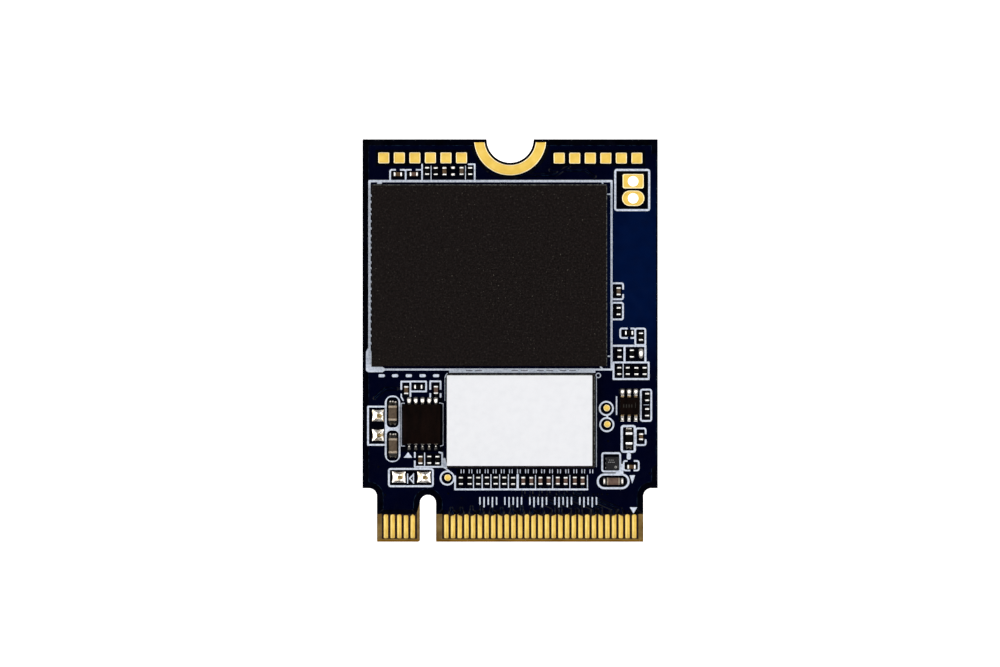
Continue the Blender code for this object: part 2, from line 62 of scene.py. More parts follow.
CARD_LOW, CARD_HIGH = box_mm("circuit_board")
HALF_WIDTH = CARD_HIGH.x
NOTCH_Y = CARD_HIGH.y
EDGE_Y = CARD_LOW.y
LAMINATE_TOP = CARD_HIGH.z
MASK_LOW, MASK_HIGH = box_mm("solder_mask_top")
FACE = MASK_HIGH.z  # the top of mask that has copper under it
BARE_FACE = FACE - 0.017  # the top of mask that has none
UNDER_FACE, UNDER_SEAT = [corner.z for corner in box_mm("solder_mask_bottom")]
UNDER_BARE_FACE = UNDER_FACE + 0.012
MASK_END_Y = MASK_LOW.y + 0.07
CONTACT_TIP_Y = box_mm("edge_contacts_top_wide")[0].y + 0.05
COMPONENT_BASE = box_mm("memory_substrate")[0].z
FLOOR = COMPONENT_BASE - 0.006  # where solder meets the card

TONGUE = 9.925
SHOULDER_Y = EDGE_Y + 4.0
SHOULDER_RADIUS = 0.6
KEY_X = -6.125
KEY_RADIUS = 0.6
KEY_Y = EDGE_Y + 3.5 - KEY_RADIUS
KEY_CORNER = 0.1
NOTCH_RADIUS = 1.75
RING_INNER = 1.92
RING_OUTER = 2.69
RING_PULL_BACK = 0.24  # how far its ends stop short of the card's end
RING_STEPS = 56
CONTACT_PITCH = 0.5
CONTACT_WIDTH = 0.35
PAIR_PITCH = 1.275  # from one pair of coupling capacitors to the next

# Some pieces sit a little off their CAD nodes, by these shifts, and have sizes of their own.
PAD_ROWS = {"test_pads_left": (0.045, -0.04, 0), "test_pads_right": (-0.015, -0.06, 0)}
TEST_PAD = 0.82
TEST_POINTS = ("test_point_left", "test_point_upper", "test_point_lower")
TEST_POINT_RADIUS = 0.25
TEST_POINT_SHIFT = Vector((-0.02, 0.045, 0))
# The shift of each pair of bare lands, and how long each of the two is.
LANDS = {"strap_pads": ((0.05, 0.03, 0), 0.91), "diode_pads": ((0.01, 0.068, 0), 1.04)}
HEADERS = ("plated_hole_square", "plated_hole_oval")
HEADER_STEPS = 48


def test_point(node):
    """The centre of a round test point."""
    return centre_mm(node) + TEST_POINT_SHIFT


# --- Outlines, as lists of (x, y) that run anticlockwise ---------------------------------------


def arc(x, y, radius, start, end, steps):
    turns = [math.radians(start + (end - start) * i / steps) for i in range(steps + 1)]
    return [(x + radius * math.cos(t), y + radius * math.sin(t)) for t in turns]


def circle(x, y, radius, steps):
    return arc(x, y, radius, 0, 360, steps)[:-1]


def rectangle(x0, y0, x1, y1):
    return [(x0, y0), (x1, y0), (x1, y1), (x0, y1)]


def rounded(x, y, width, length, radius, steps=4):
    """A rectangle with round corners, centred on (x, y)."""
    dx, dy = width / 2 - radius, length / 2 - radius
    corners = [(dx, -dy, -90), (dx, dy, 0), (-dx, dy, 90), (-dx, -dy, 180)]
    return [
        point
        for cx, cy, start in corners
        for point in arc(x + cx, y + cy, radius, start, start + 90, steps)
    ]


def card_outline(inset, end_y, key_left_inset=None):
    """The card's outline moved in by inset and cut off at end_y.

    key_left_inset is a different inset for the lower end of the key slot's left side.
    """
    side = HALF_WIDTH - inset
    fixing = NOTCH_Y - inset
    tongue = TONGUE - inset
    notch = NOTCH_RADIUS + inset
    fillet = SHOULDER_RADIUS + inset
    shoulder = (TONGUE + SHOULDER_RADIUS, SHOULDER_Y - SHOULDER_RADIUS)
    key = KEY_RADIUS + inset
    key_end = KEY_RADIUS + (inset if key_left_inset is None else key_left_inset)
    start = math.degrees(math.asin(min(1, inset / notch)))
    return [
        (side, fixing),
        *arc(0, NOTCH_Y, notch, -start, -180 + start, 48),
        (-side, fixing),
        (-side, shoulder[1] + fillet),
        *arc(-shoulder[0], shoulder[1], fillet, 90, 0, 10),
        (-tongue, end_y),
        (KEY_X - key_end - KEY_CORNER, end_y),
        (KEY_X - key_end, end_y + KEY_CORNER),
        *arc(KEY_X, KEY_Y, key, 180, 0, 20),
        (KEY_X + key, end_y),
        (tongue, end_y),
        *arc(shoulder[0], shoulder[1], fillet, 180, 90, 10),
        (side, shoulder[1] + fillet),
    ]


def stroke(points, width, closed=False):
    """The outlines that together cover a line of this width: a bar for each step, a disc at each turn."""
    found = []
    pairs = list(zip(points, points[1:] + points[:1] if closed else points[1:]))
    for (x0, y0), (x1, y1) in pairs:
        length = math.hypot(x1 - x0, y1 - y0)
        if length < 1e-6:
            continue
        nx, ny = (y0 - y1) / length * width / 2, (x1 - x0) / length * width / 2
        found.append([(x0 - nx, y0 - ny), (x1 - nx, y1 - ny), (x1 + nx, y1 + ny), (x0 + nx, y0 + ny)])
    return found + [circle(x, y, width / 2, 10) for x, y in points]


def area(outline):
    turned = outline[1:] + outline[:1]
    return sum(x0 * y1 - x1 * y0 for (x0, y0), (x1, y1) in zip(outline, turned)) / 2


def at_level(outline, z):
    return [(x, y, z) for x, y in outline]


# --- Meshes ------------------------------------------------------------------------------------


def cells(labelled):
    """Cuts a plane along outlines that may cross. Gives points, and triangles with their labels."""
    points, faces, labels = [], [], []
    for label, outline in labelled:
        if area(outline) < 0:
            outline = outline[::-1]
        faces.append(list(range(len(points), len(points) + len(outline))))
        points += [Vector(p) for p in outline]
        labels.append(label)
    result = geometry.delaunay_2d_cdt(points, [], faces, 1, 1e-5, True)
    flat, triangles, origins = result[0], result[2], result[5]
    return flat, [(t, {labels[i] for i in ids}) for t, ids in zip(triangles, origins) if ids]


def plate(labelled, low, classify):
    """A plate between the level low and the levels that classify gives to its triangles.

    classify takes a triangle's labels. It returns a level and a material, or None for no plate.
    A corner takes the level farthest from low among its triangles. With levels under low, the
    plate's worked face looks down.
    """
    flat, triangles = cells(labelled)
    kept = [(t, classify(labels)) for t, labels in triangles if classify(labels)]
    sign = 1 if kept[0][1][0] > low else -1
    levels = {}
    for t, (level, _) in kept:
        for v in t:
            levels[v] = max(levels.get(v, sign * level), sign * level)
    shape = bmesh.new()
    top = {v: shape.verts.new((*flat[v], sign * levels[v])) for v in sorted(levels)}
    bottom = {v: shape.verts.new((*flat[v], low)) for v in sorted(levels)}
    edges = {}
    for t, (_, material) in kept:
        shape.faces.new([top[v] for v in t]).material_index = material
        shape.faces.new([bottom[v] for v in reversed(t)]).material_index = material
        for edge in zip(t, t[1:] + t[:1]):
            edges[edge] = material
    for (a, b), material in edges.items():
        if (b, a) not in edges:
            shape.faces.new((top[b], top[a], bottom[a], bottom[b])).material_index = material
    if sign < 0:
        bmesh.ops.reverse_faces(shape, faces=shape.faces)
    return shape


def loft(shape, rings, material=0, close_start=True, close_end=True):
    """Joins rings of points, each with the same number of points, and closes both ends."""
    made = [[shape.verts.new(point) for point in ring] for ring in rings]
    faces = []
    for ring, following in zip(made, made[1:]):
        count = len(ring)
        for i in range(count):
            j = (i + 1) % count
            faces.append(shape.faces.new((ring[i], ring[j], following[j], following[i])))
    if close_start:
        faces.append(shape.faces.new(made[0][::-1]))
    if close_end:
        faces.append(shape.faces.new(made[-1]))
    for face in faces:
        face.material_index = material
    return shape


def tier(x, y, width, length, radius, least, levels):
    """Rings for loft: a rounded rectangle, moved in by an inset, at each (level, inset).

    Its corners get tighter with the inset, down to the radius least.
    """
    rings = []
    for z, inset in levels:
        plan = rounded(x, y, width - 2 * inset, length - 2 * inset, max(radius - inset, least))
        rings.append(at_level(plan, z))
    return rings


def slab(shape, x, y, width, length, low, high, radius, bevel, material=0, under_bevel=0.0):
    """A flat block with round corners, and a rounded upper edge."""
    levels = [(low, under_bevel), (low + under_bevel, 0)] if under_bevel else [(low, 0)]
    for turn in (0, 30, 60, 90):
        angle = math.radians(turn)
        levels.append((high - bevel * (1 - math.sin(angle)), bevel * (1 - math.cos(angle))))
    return loft(shape, tier(x, y, width, length, radius, 0.002, levels), material)


def paint_slopes(shape):
    """Gives the second material to the faces that tilt more than ten degrees."""
    shape.normal_update()
    for face in shape.faces:
        if abs(face.normal.z) < 0.985:
            face.material_index = 1
    return shape


def make_object(name, shape, finishes):
    """An object from a bmesh in millimetres."""
    bmesh.ops.scale(shape, vec=(MM, MM, MM), verts=shape.verts)
    mesh = bpy.data.meshes.new(name)
    shape.to_mesh(mesh)
    shape.free()
    for finish in finishes:
        mesh.materials.append(finish)
    made = bpy.data.objects.new(name, mesh)
    bpy.context.scene.collection.objects.link(made)
    return made


def make_piece(name, shape, finishes, replaces=(), smooth=35, fix_normals=False):
    """A piece of the object. Its edges are sharp where faces meet at more than smooth degrees."""
    if fix_normals:
        bmesh.ops.recalc_face_normals(shape, faces=shape.faces)
    piece = make_object(name, shape, finishes)
    piece.data.shade_smooth()
    piece.data.set_sharp_from_angle(angle=math.radians(smooth))
    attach(piece, "root")
    if replaces:
        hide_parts(*replaces)
    return piece


def make_gold(name, shape, node, smooth, fix_normals=True):
    """A gold-plated piece whose slopes carry a painted highlight: a paler gold than its face."""
    make_piece(name, paint_slopes(shape), [GOLD, GOLD_HIGHLIGHT], [node], smooth, fix_normals)


def make_solder(name, shape, finishes, node):
    make_piece(name, shape, finishes, [node], 60, True)


# --- Materials ---------------------------------------------------------------------------------
# Their patterns are drawn in millimetres on the card.


class Finish:
    """A Principled material, with the few patterns that these surfaces need."""

    def __init__(self, name, colour, roughness, metallic=0.0, specular=0.5):
        self.material = bpy.data.materials.new(name)
        self.material.use_nodes = True
        self.tree = self.material.node_tree
        self.shader = self.tree.nodes["Principled BSDF"]
        self.feed(self.shader.inputs["Base Color"], colour)
        self.feed(self.shader.inputs["Roughness"], roughness)
        self.feed(self.shader.inputs["Metallic"], metallic)
        self.feed(self.shader.inputs["Specular IOR Level"], specular)
        self.place = self.tree.nodes.new("ShaderNodeTexCoord").outputs["Object"]

    def feed(self, socket, value):
        """Gives a socket another socket, a colour as a tuple, or a plain value."""
        if isinstance(value, bpy.types.NodeSocket):
            self.tree.links.new(value, socket)
        else:
            socket.default_value = (*value, 1) if isinstance(value, tuple) else value

    def node(self, kind, inputs=None, **settings):
        made = self.tree.nodes.new(kind)
        for key, value in settings.items():
            setattr(made, key, value)
        for key, value in (inputs or {}).items():
            self.feed(made.inputs[key], value)
        return made

    def math(self, operation, *values):
        made = self.node("ShaderNodeMath", operation=operation)
        for socket, value in zip(made.inputs, values):
            self.feed(socket, value)
        return made.outputs["Value"]

    def noise(self, size, detail, stretch=(1, 1, 1), distortion=0.0):
        """Noise from 0 to 1 whose grains are about size millimetres across."""
        scale = [s / MM for s in stretch]
        mapping = self.node("ShaderNodeMapping", {"Vector": self.place, "Scale": scale})
        settings = {"Scale": 1 / size, "Detail": detail, "Distortion": distortion}
        texture = self.node("ShaderNodeTexNoise", {"Vector": mapping.outputs["Vector"], **settings})
        return texture.outputs["Fac"]

    def ramp(self, value, *stops):
        """Colours, or greys, at places along a value."""
        ramp = self.node("ShaderNodeValToRGB", {"Fac": value})
        elements = ramp.color_ramp.elements
        while len(elements) < len(stops):
            elements.new(0.5)
        for element, (position, colour) in zip(elements, stops):
            element.position = position
            element.color = (*colour, 1) if isinstance(colour, tuple) else (colour, colour, colour, 1)
        return ramp.outputs["Color"]

    def mix(self, factor, first, second, blend="MIX"):
        """Mixes two colours. Each input is a socket or a colour, and factor is a socket or a number."""
        mix = self.node("ShaderNodeMix", data_type="RGBA", blend_type=blend)
        sockets = [s for s in mix.inputs if s.enabled]
        for socket, value in zip(sockets, (factor, first, second)):
            self.feed(socket, value)
        return [s for s in mix.outputs if s.enabled][0]

    def colour(self, value):
        self.feed(self.shader.inputs["Base Color"], value)
        return self

    def vary_roughness(self, size, low, high, stretch=(1, 1, 1)):
        limits = {"From Min": 0.3, "From Max": 0.7, "To Min": low, "To Max": high}
        spread = self.node("ShaderNodeMapRange", {"Value": self.noise(size, 3.0, stretch), **limits})
        self.feed(self.shader.inputs["Roughness"], spread.outputs["Result"])
        return self

    def bump(self, height, depth):
        """Relief from a value, depth millimetres deep, on top of the relief that is there."""
        bump = self.node("ShaderNodeBump", {"Height": height, "Strength": 1.0, "Distance": depth * MM})
        normal = self.shader.inputs["Normal"]
        if normal.is_linked:
            self.feed(bump.inputs["Normal"], normal.links[0].from_socket)
        self.feed(normal, bump.outputs["Normal"])
        return self

    def grain(self, size, depth, detail=3.0, stretch=(1, 1, 1)):
        return self.bump(self.noise(size, detail, stretch), depth)

    def along(self, axis):
        """The place along one of the card's axes, in millimetres."""
        split = self.node("ShaderNodeSeparateXYZ", {"Vector": self.place})
        return self.math("MULTIPLY", split.outputs[axis], 1 / MM)

    def nearness(self, x, y, reach_x, reach_y):
        """1 at a point of the card, falling to 0 on an ellipse round it."""
        squares = []
        for axis, centre, reach in (("X", x, reach_x), ("Y", y, reach_y)):
            away = self.math("SUBTRACT", self.along(axis), centre)
            squares.append(self.math("POWER", self.math("DIVIDE", away, reach), 2))
        limits = {"Value": self.math("ADD", *squares), "From Min": 1.0, "From Max": 0.0}
        return self.node("ShaderNodeMapRange", limits, interpolation_type="SMOOTHSTEP").outputs["Result"]


def mottled(name, dark, light, size, roughness, metallic=0.0, specular=0.5, detail=4.0,
            low=0.35, high=0.65, stretch=(1, 1, 1), rough=None, grain=None):
    """A material whose colour wanders between dark and light, in patches of this size.

    low and high are the noise values that are all dark and all light. rough is what
    vary_roughness takes, and grain what grain takes.
    """
    finish = Finish(name, light, roughness, metallic, specular)
    finish.colour(finish.ramp(finish.noise(size, detail, stretch), (low, dark), (high, light)))
    if rough:
        finish.vary_roughness(*rough)
    if grain:
        finish.grain(*grain)
    return finish.material


def mask_over_copper():
    """Dark blue solder mask. It looks bluest where a wide plane of copper lies under it."""
    finish = Finish("mask_over_copper", (0.0, 0.003, 0.03), 0.1, specular=0.1)
    plain = finish.ramp(finish.noise(1.6, 4), (0.3, (0.0, 0.0004, 0.007)), (0.7, (0.0, 0.0007, 0.0105)))
    plane = finish.ramp(finish.noise(0.9, 4), (0.3, (0.0, 0.0042, 0.03)), (0.7, (0.0, 0.0058, 0.04)))
    finish.colour(finish.mix(finish.nearness(9.4, 5.2, 4.6, 8.6), plain, plane))
    return finish.vary_roughness(0.5, 0.08, 0.13).grain(0.35, 0.0009).grain(0.06, 0.0002).material


def gold(name, middle, low, high):
    """Soft gold over copper: slightly matt, with fine brush marks and small stains."""
    finish = Finish(name, middle, 0.5, 0.75)
    tone = finish.ramp(finish.noise(0.5, 5), (0.25, low), (0.5, middle), (0.8, high))
    stain = finish.ramp(finish.noise(0.17, 3), (0.7, 0.0), (0.82, 0.35))
    finish.colour(finish.mix(stain, tone, (0.42, 0.22, 0.05)))
    finish.vary_roughness(0.25, 0.44, 0.56)
    return finish.grain(0.03, 0.0012).grain(0.05, 0.0008, 2.0, (1, 0.08, 1)).material


def contact_gold(name, row):
    """The contacts' gold, with a painted highlight as a paler line along each contact, and painted shade to
    its right.
    """
    finish = Finish(name, (0.655, 0.445, 0.08), 0.5, 0.75)
    tone = finish.ramp(finish.noise(0.4, 5), (0.25, (0.6, 0.38, 0.055)), (0.75, (0.7, 0.49, 0.11)))
    first_x = box_mm(row)[0].x + CONTACT_WIDTH / 2
    steps = finish.math("MULTIPLY_ADD", finish.along("X"), 1 / CONTACT_PITCH, 0.5 - first_x / CONTACT_PITCH)
    across = finish.math("FRACT", steps)
    # Painted highlight: a paler stripe along each contact.
    painted_highlight_stripe = finish.ramp(across, (0.2, 0.0), (0.3, 0.7), (0.38, 0.5), (0.48, 0.0))
    tone = finish.mix(painted_highlight_stripe, tone, (0.82, 0.62, 0.23))
    # Painted shade: the right part of each contact is mixed towards dark brown.
    finish.colour(finish.mix(finish.ramp(across, (0.68, 0.0), (0.86, 0.5)), tone, (0.42, 0.24, 0.03)))
    finish.vary_roughness(0.25, 0.44, 0.56)
    return finish.grain(0.03, 0.0012).grain(0.05, 0.0008, 2.0, (1, 0.08, 1)).material


def solder(name, level, roughness, flux=0.8):
    """Reflowed solder, with traces of brown flux and a faint grain of crystals."""
    finish = Finish(name, (level, level, level), roughness, 1.0)
    dark, light = [(level * k, level * k * 0.955, level * k * 0.89) for k in (0.84, 0.98)]
    metal = finish.ramp(finish.noise(0.1, 4), (0.3, dark), (0.6, light))
    stain = finish.ramp(finish.noise(0.3, 3), (0.47, 0.0), (0.64, flux))
    finish.colour(finish.mix(stain, metal, (0.5 * level, 0.38 * level, 0.22 * level)))
    return finish.vary_roughness(0.15, roughness - 0.08, roughness + 0.08).grain(0.08, 0.002).material


def mask_edge_highlight():
    """Mask stretched thin over the sloped outer edge of the copper, where it shows paler, in a broken line.
    The pale blue line is also a painted highlight along the slope.
    """
    finish = Finish("mask_over_copper_edge", (0.0, 0.004, 0.012), 0.3, specular=0.05)
    broken = finish.ramp(finish.noise(0.3, 3), (0.48, (0.0, 0.0008, 0.006)), (0.62, (0.008, 0.022, 0.045)))
    return finish.colour(broken).vary_roughness(0.2, 0.25, 0.4).material


def laminate():
    """Glass-epoxy laminate: weave under a skin of resin on its faces, and layers along its edge."""
    finish = Finish("laminate", (0.2, 0.125, 0.035), 0.5, specular=0.04)
    tones = (0.3, (0.165, 0.1, 0.028)), (0.55, (0.205, 0.132, 0.042)), (0.8, (0.25, 0.175, 0.075))
    glass = finish.ramp(finish.noise(0.4, 5), *tones)
    # The bevelled end is cut smoother, and its resin shows golden.
    body = finish.mix(finish.nearness(0, EDGE_Y - 0.02, 60, 0.24), glass, (0.21, 0.1, 0.005))
    tones = (0.36, (0.68, 0.62, 0.52)), (0.5, (1.0, 1.0, 1.0)), (0.7, (1.15, 1.12, 1.06))
    layers = finish.ramp(finish.noise(0.055, 2, (0.04, 0.04, 1)), *tones)
    finish.colour(finish.mix(1.0, body, layers, "MULTIPLY")).vary_roughness(0.2, 0.4, 0.7)
    return finish.grain(0.05, 0.006, 3.0, (1, 1, 0.6)).grain(0.06, 0.008, 2.0, (0.05, 0.05, 1)).material


def moulding():
    """Moulding compound: black-brown and finely pitted, with a few pale specks of filler."""
    finish = Finish("moulding_compound", (0.007, 0.005, 0.0045), 0.6, specular=0.055)
    tones = (0.32, (0.0022, 0.0012, 0.001)), (0.58, (0.0088, 0.0056, 0.005)), (0.75, (0.026, 0.021, 0.019))
    base = finish.ramp(finish.noise(0.13, 6), *tones)
    speck = finish.ramp(finish.noise(0.09, 1), (0.742, 0.0), (0.785, 0.9))
    cluster = finish.ramp(finish.noise(3.5, 2), (0.35, 0.25), (0.62, 1.0))
    specked = finish.mix(finish.mix(1.0, speck, cluster, "MULTIPLY"), base, (0.15, 0.135, 0.11))
    pit = finish.ramp(finish.noise(0.12, 1, distortion=0.6), (0.27, 1.0), (0.34, 0.0))
    finish.colour(finish.mix(pit, specked, (0.0008, 0.0006, 0.0005)))
    finish.vary_roughness(0.2, 0.5, 0.72)
    dent = finish.ramp(finish.noise(0.14, 2), (0.3, 0.0), (0.42, 1.0))
    return finish.grain(0.05, 0.012, 4.0).bump(dent, 0.012).grain(0.3, 0.006).material


def substrate():
    """The packages' own small circuit boards, seen at their edges."""
    finish = Finish("package_substrate", (0.02, 0.07, 0.035), 0.5)
    tones = (0.35, (0.008, 0.03, 0.014)), (0.6, (0.03, 0.095, 0.05)), (0.8, (0.2, 0.17, 0.09))
    layers = finish.ramp(finish.noise(0.05, 2, (0.03, 0.03, 1)), *tones)
    return finish.colour(layers).grain(0.05, 0.004).material


def laser_mark(name, dark, light):
    """The matt grey that a laser leaves on moulding compound."""
    return mottled(name, dark, light, 0.05, 0.8, specular=0.1, grain=(0.03, 0.002))


def ceramic(name, dark, light):
    """Fired ceramic of a chip capacitor."""
    return mottled(name, dark, light, 0.18, 0.45, specular=0.15, detail=5.0, low=0.3,
                   rough=(0.1, 0.32, 0.5), grain=(0.04, 0.003))


MASK_COPPER = mask_over_copper()
MASK_EDGE_HIGHLIGHT = mask_edge_highlight()
# The same mask where only laminate is under it: almost black.
MASK_BARE = mottled("mask_over_laminate", (0.0, 0.0001, 0.0014), (0.0002, 0.0005, 0.0038), 0.8, 0.12,
                    specular=0.08, rough=(0.5, 0.09, 0.15), grain=(0.3, 0.001))
# White ink with a cool cast, thin in places.
INK = mottled("silkscreen_ink", (0.43, 0.49, 0.61), (0.71, 0.76, 0.86), 0.16, 0.6, specular=0.2,
              detail=5.0, low=0.32, high=0.58, rough=(0.1, 0.45, 0.65), grain=(0.05, 0.004))
GOLD = gold("gold_plating", (0.655, 0.445, 0.08), (0.58, 0.37, 0.056), (0.7, 0.505, 0.13))
# A pale gold: painted highlight on the slopes of pads, notch rings and headers.
GOLD_HIGHLIGHT = gold("gold_painted_highlight", (0.92, 0.78, 0.46), (0.84, 0.68, 0.34), (0.97, 0.87, 0.6))
CONTACT_GOLD = contact_gold("contact_gold_upper", "edge_contacts_top_wide")
CONTACT_GOLD_UNDER = contact_gold("contact_gold_lower", "edge_contacts_bottom_wide")
# A dark red-brown gold: painted shade on the contacts' sloped sides.
GOLD_SHADE_SIDES = gold("gold_edge", (0.28, 0.09, 0.009), (0.17, 0.045, 0.004), (0.42, 0.17, 0.022))
SOLDER = solder("solder", 0.97, 0.3)
SOLDER_SATIN = solder("solder_satin", 1.0, 0.38, 0.2)
# Solder painted dark: painted shade for fillets, for the lumps at one end of large components, and for the
# power chip's lower leads.
SOLDER_SHADED = solder("solder_painted_shade", 0.16, 0.26)
# Brown-gold flux, dried in the middle of a bare solder pad.
FLUX = mottled("flux_residue", (0.05, 0.03, 0.01), (0.36, 0.25, 0.09), 0.08, 0.4, 0.6, grain=(0.06, 0.004))
# End caps: satin tin on the small components, and on the larger capacitors tin painted dark brown, a painted
# reflection of their dark surroundings.
CAP_TIN = mottled("plated_tin", (0.8, 0.77, 0.72), (1.0, 0.99, 0.97), 0.1, 0.4, 0.92, low=0.3,
                  high=0.55, rough=(0.08, 0.34, 0.46), grain=(0.05, 0.002))
TIN_PAINTED_REFLECTION = mottled("tin_painted_dark_reflection", (0.2, 0.155, 0.11), (0.4, 0.33, 0.25), 0.1, 0.5, 0.7,
                   rough=(0.08, 0.42, 0.58), grain=(0.05, 0.003))
# Bare copper-alloy leads, tinned and browned.
LEAD_METAL = mottled("lead_metal", (0.1, 0.06, 0.025), (0.3, 0.22, 0.12), 0.12, 0.45, 0.8,
                     rough=(0.08, 0.38, 0.55), grain=(0.04, 0.003))
LAMINATE = laminate()
# Darker laminate, under the mask and in the fields round and between the contacts.
LAMINATE_DARK = mottled("laminate_over_planes", (0.0012, 0.0004, 0.0003), (0.014, 0.003, 0.0012), 0.25,
                        0.4, specular=0.1, grain=(0.08, 0.004))
MOULDING = moulding()
# A painted highlight on the chamfer of a package's +X and +Y top edges: paler, in a broken line.
MOULDING_EDGE_HIGHLIGHT = mottled("moulding_painted_highlight", (0.005, 0.005, 0.0045), (0.085, 0.088, 0.078), 0.14, 0.7,
                       specular=0.2, detail=5.0, low=0.42, high=0.62, grain=(0.06, 0.01))
# The finer compound of the small chips, with faint polishing marks.
CHIP_MOULDING = mottled("chip_moulding", (0.0018, 0.0006, 0.0004), (0.0058, 0.0022, 0.0015), 0.3, 0.6,
                        specular=0.02, detail=5.0, low=0.3, high=0.7, stretch=(1, 0.25, 1),
                        rough=(0.2, 0.5, 0.65), grain=(0.03, 0.003))
SENSOR_MOULDING = mottled("sensor_moulding", (0.006, 0.006, 0.007), (0.018, 0.0175, 0.02), 0.1, 0.55,
                          specular=0.12, detail=5.0, grain=(0.03, 0.005))
SENSOR_MARK = laser_mark("sensor_laser_mark", (0.14, 0.14, 0.14), (0.36, 0.36, 0.36))
LOGIC_MARK = laser_mark("logic_laser_mark", (0.016, 0.015, 0.013), (0.05, 0.047, 0.04))
SUBSTRATE = substrate()
# A matt white label, with a faint mottle of fibres.
PAPER = mottled("label_paper", (0.835, 0.84, 0.862), (0.865, 0.87, 0.89), 0.5, 0.7, specular=0.2,
                detail=6.0, low=0.3, high=0.6, rough=(0.4, 0.62, 0.8), grain=(0.12, 0.0025, 5.0))
BROWN_CERAMIC = ceramic("capacitor_ceramic", (0.068, 0.044, 0.025), (0.105, 0.07, 0.042))
ROSE_CERAMIC = ceramic("capacitor_ceramic_rose", (0.09, 0.05, 0.036), (0.145, 0.088, 0.064))
AMBER_CERAMIC = ceramic("capacitor_ceramic_amber", (0.05, 0.024, 0.009), (0.13, 0.075, 0.03))
# The black coat over a chip resistor's film, and the white base under it.
GLAZE = mottled("resistor_coat", (0.001, 0.001, 0.0012), (0.004, 0.0038, 0.0038), 0.08, 0.55,
                specular=0.03, detail=3.0, grain=(0.06, 0.003))
ALUMINA = mottled("alumina", (0.42, 0.41, 0.38), (0.66, 0.65, 0.62), 0.06, 0.5, specular=0.4,
                  grain=(0.03, 0.003))
FERRITE = mottled("ferrite", (0.001, 0.0009, 0.0009), (0.004, 0.0036, 0.0036), 0.1, 0.6,
                  specular=0.02, grain=(0.04, 0.004))
SILICON = mottled("silicon", (0.09, 0.09, 0.11), (0.15, 0.15, 0.175), 0.8, 0.2, 0.6, detail=2.0,
                  rough=(0.05, 0.15, 0.3, (0.1, 1, 1)))


# --- Printed marks -----------------------------------------------------------------------------
# Each is drawn on the card's upper face. Clearings are the dark fields inside the outlines, where
# the copper under the mask stops.

SPREAD = 0.76  # how much of its drawn width a printed line keeps
strokes = []  # outlines of ink
gaps = []  # outlines where ink is left out
clearings = []  # (x0, y0, x1, y1)


def draw(width, *points, closed=False):
    strokes.extend(stroke(list(points), width * SPREAD, closed))


def fill(*points):
    strokes.append(list(points))


def leave_gap(x0, y0, x1, y1):
    gaps.append(rectangle(x0, y0, x1, y1))


def clear(x0, y0, x1, y1):
    clearings.append((x0, y0, x1, y1))


def draw_frame(x0, y0, x1, y1, width, cleared=True):
    """A frame whose line lies inside these limits, with rounded corners."""
    path = rounded((x0 + x1) / 2, (y0 + y1) / 2, x1 - x0 - width, y1 - y0 - width, 0.12, 2)
    draw(width, *path, closed=True)
    if cleared:
        clear(x0 + width, y0 + width, x1 - width, y1 - width)


def draw_slot(x0, y0, x1, y1, width):
    """A frame with half-round ends, across its longer side."""
    across, along = x1 - x0 - width, y1 - y0 - width
    radius = min(across, along) / 2 - 0.01
    draw(width, *rounded((x0 + x1) / 2, (y0 + y1) / 2, across, along, radius, 6), closed=True)
    clear(x0 + width, y0 + width, x1 - width, y1 - width)


def draw_memory_outline():
    left, top, right, bottom = -10.48, 11.875, 7.555, -2.16
    draw(0.226, (left, bottom), (left, top), (right, top))
    draw(0.2, (right, top), (right, bottom))
    draw(0.19, (left, bottom), (right, bottom))
    fill((-10.74, -0.85), (-10.62, -0.6), (-10.44, -0.6), (-10.33, -0.85),
         (-10.33, -2.34), (-10.6, -2.34), (-10.74, -2.22))
    fill((-10.6, -2.36), (-9.5, -2.36), (-9.3, -2.2), (-9.3, -2.1), (-9.5, -1.96), (-10.6, -1.96))
    draw(0.14, (7.25, 10.9), (right, 10.9))
    draw(0.22, (-9.84, 11.75), (-9.62, 11.75))
    draw(0.14, (6.8, top), (6.9, 11.72))
    draw(0.14, (7.3, -1.17), (right, -1.17))
    draw(0.16, (6.75, -1.98), (6.95, bottom))
    marks = random.Random(4)
    for i in range(23):
        y = 10.9 - 0.5 * i + marks.uniform(-0.08, 0.08)
        draw(0.12, (left + 0.1, y), (left + 0.1 + marks.uniform(0.02, 0.07), y - 0.1))


def draw_index_marks():
    """Plain marks where the card is lettered: bars of equal size beside the memory, and ticks."""
    for x in (-9.57, -8.57, -7.55, -6.52, -5.51):
        strokes.append(rounded(x, -2.62, 0.46, 0.22, 0.08))
    for i in range(17):
        for x in (-3.65 + 0.6 * i, -3.45 + 0.6 * i):
            draw(0.09, (x, -9.62), (x, -9.86))
    for i in range(30):
        if i % 6 != 5:
            x = -2.25 + 0.31 * i
            draw(0.13, (x, -11.7), (x, -12.38 if i % 2 else -12.2))


def draw_controller_outline():
    draw(0.07, (6.43, -2.75), (6.43, -9.4))
    draw(0.09, *circle(6.57, -2.6, 0.17, 12), closed=True)
    draw(0.1, *arc(-4.52, -2.72, 0.3, 180, 120, 4))
    draw(0.05, (-4.86, -2.72), (-4.86, -4.5))
    strokes.append(rectangle(-4.55, -2.4, 6.35, -2.08))
    for x in (-3.3, -2.6, 0.1, 0.8, 2.0, 2.7, 3.7, 4.4):
        leave_gap(x, -2.27, x + 0.5, -2.22)
    draw(0.16, (-4.92, -8.8), (-4.92, -9.45))
    draw(0.12, (-4.92, -9.45), (-4.5, -9.75))


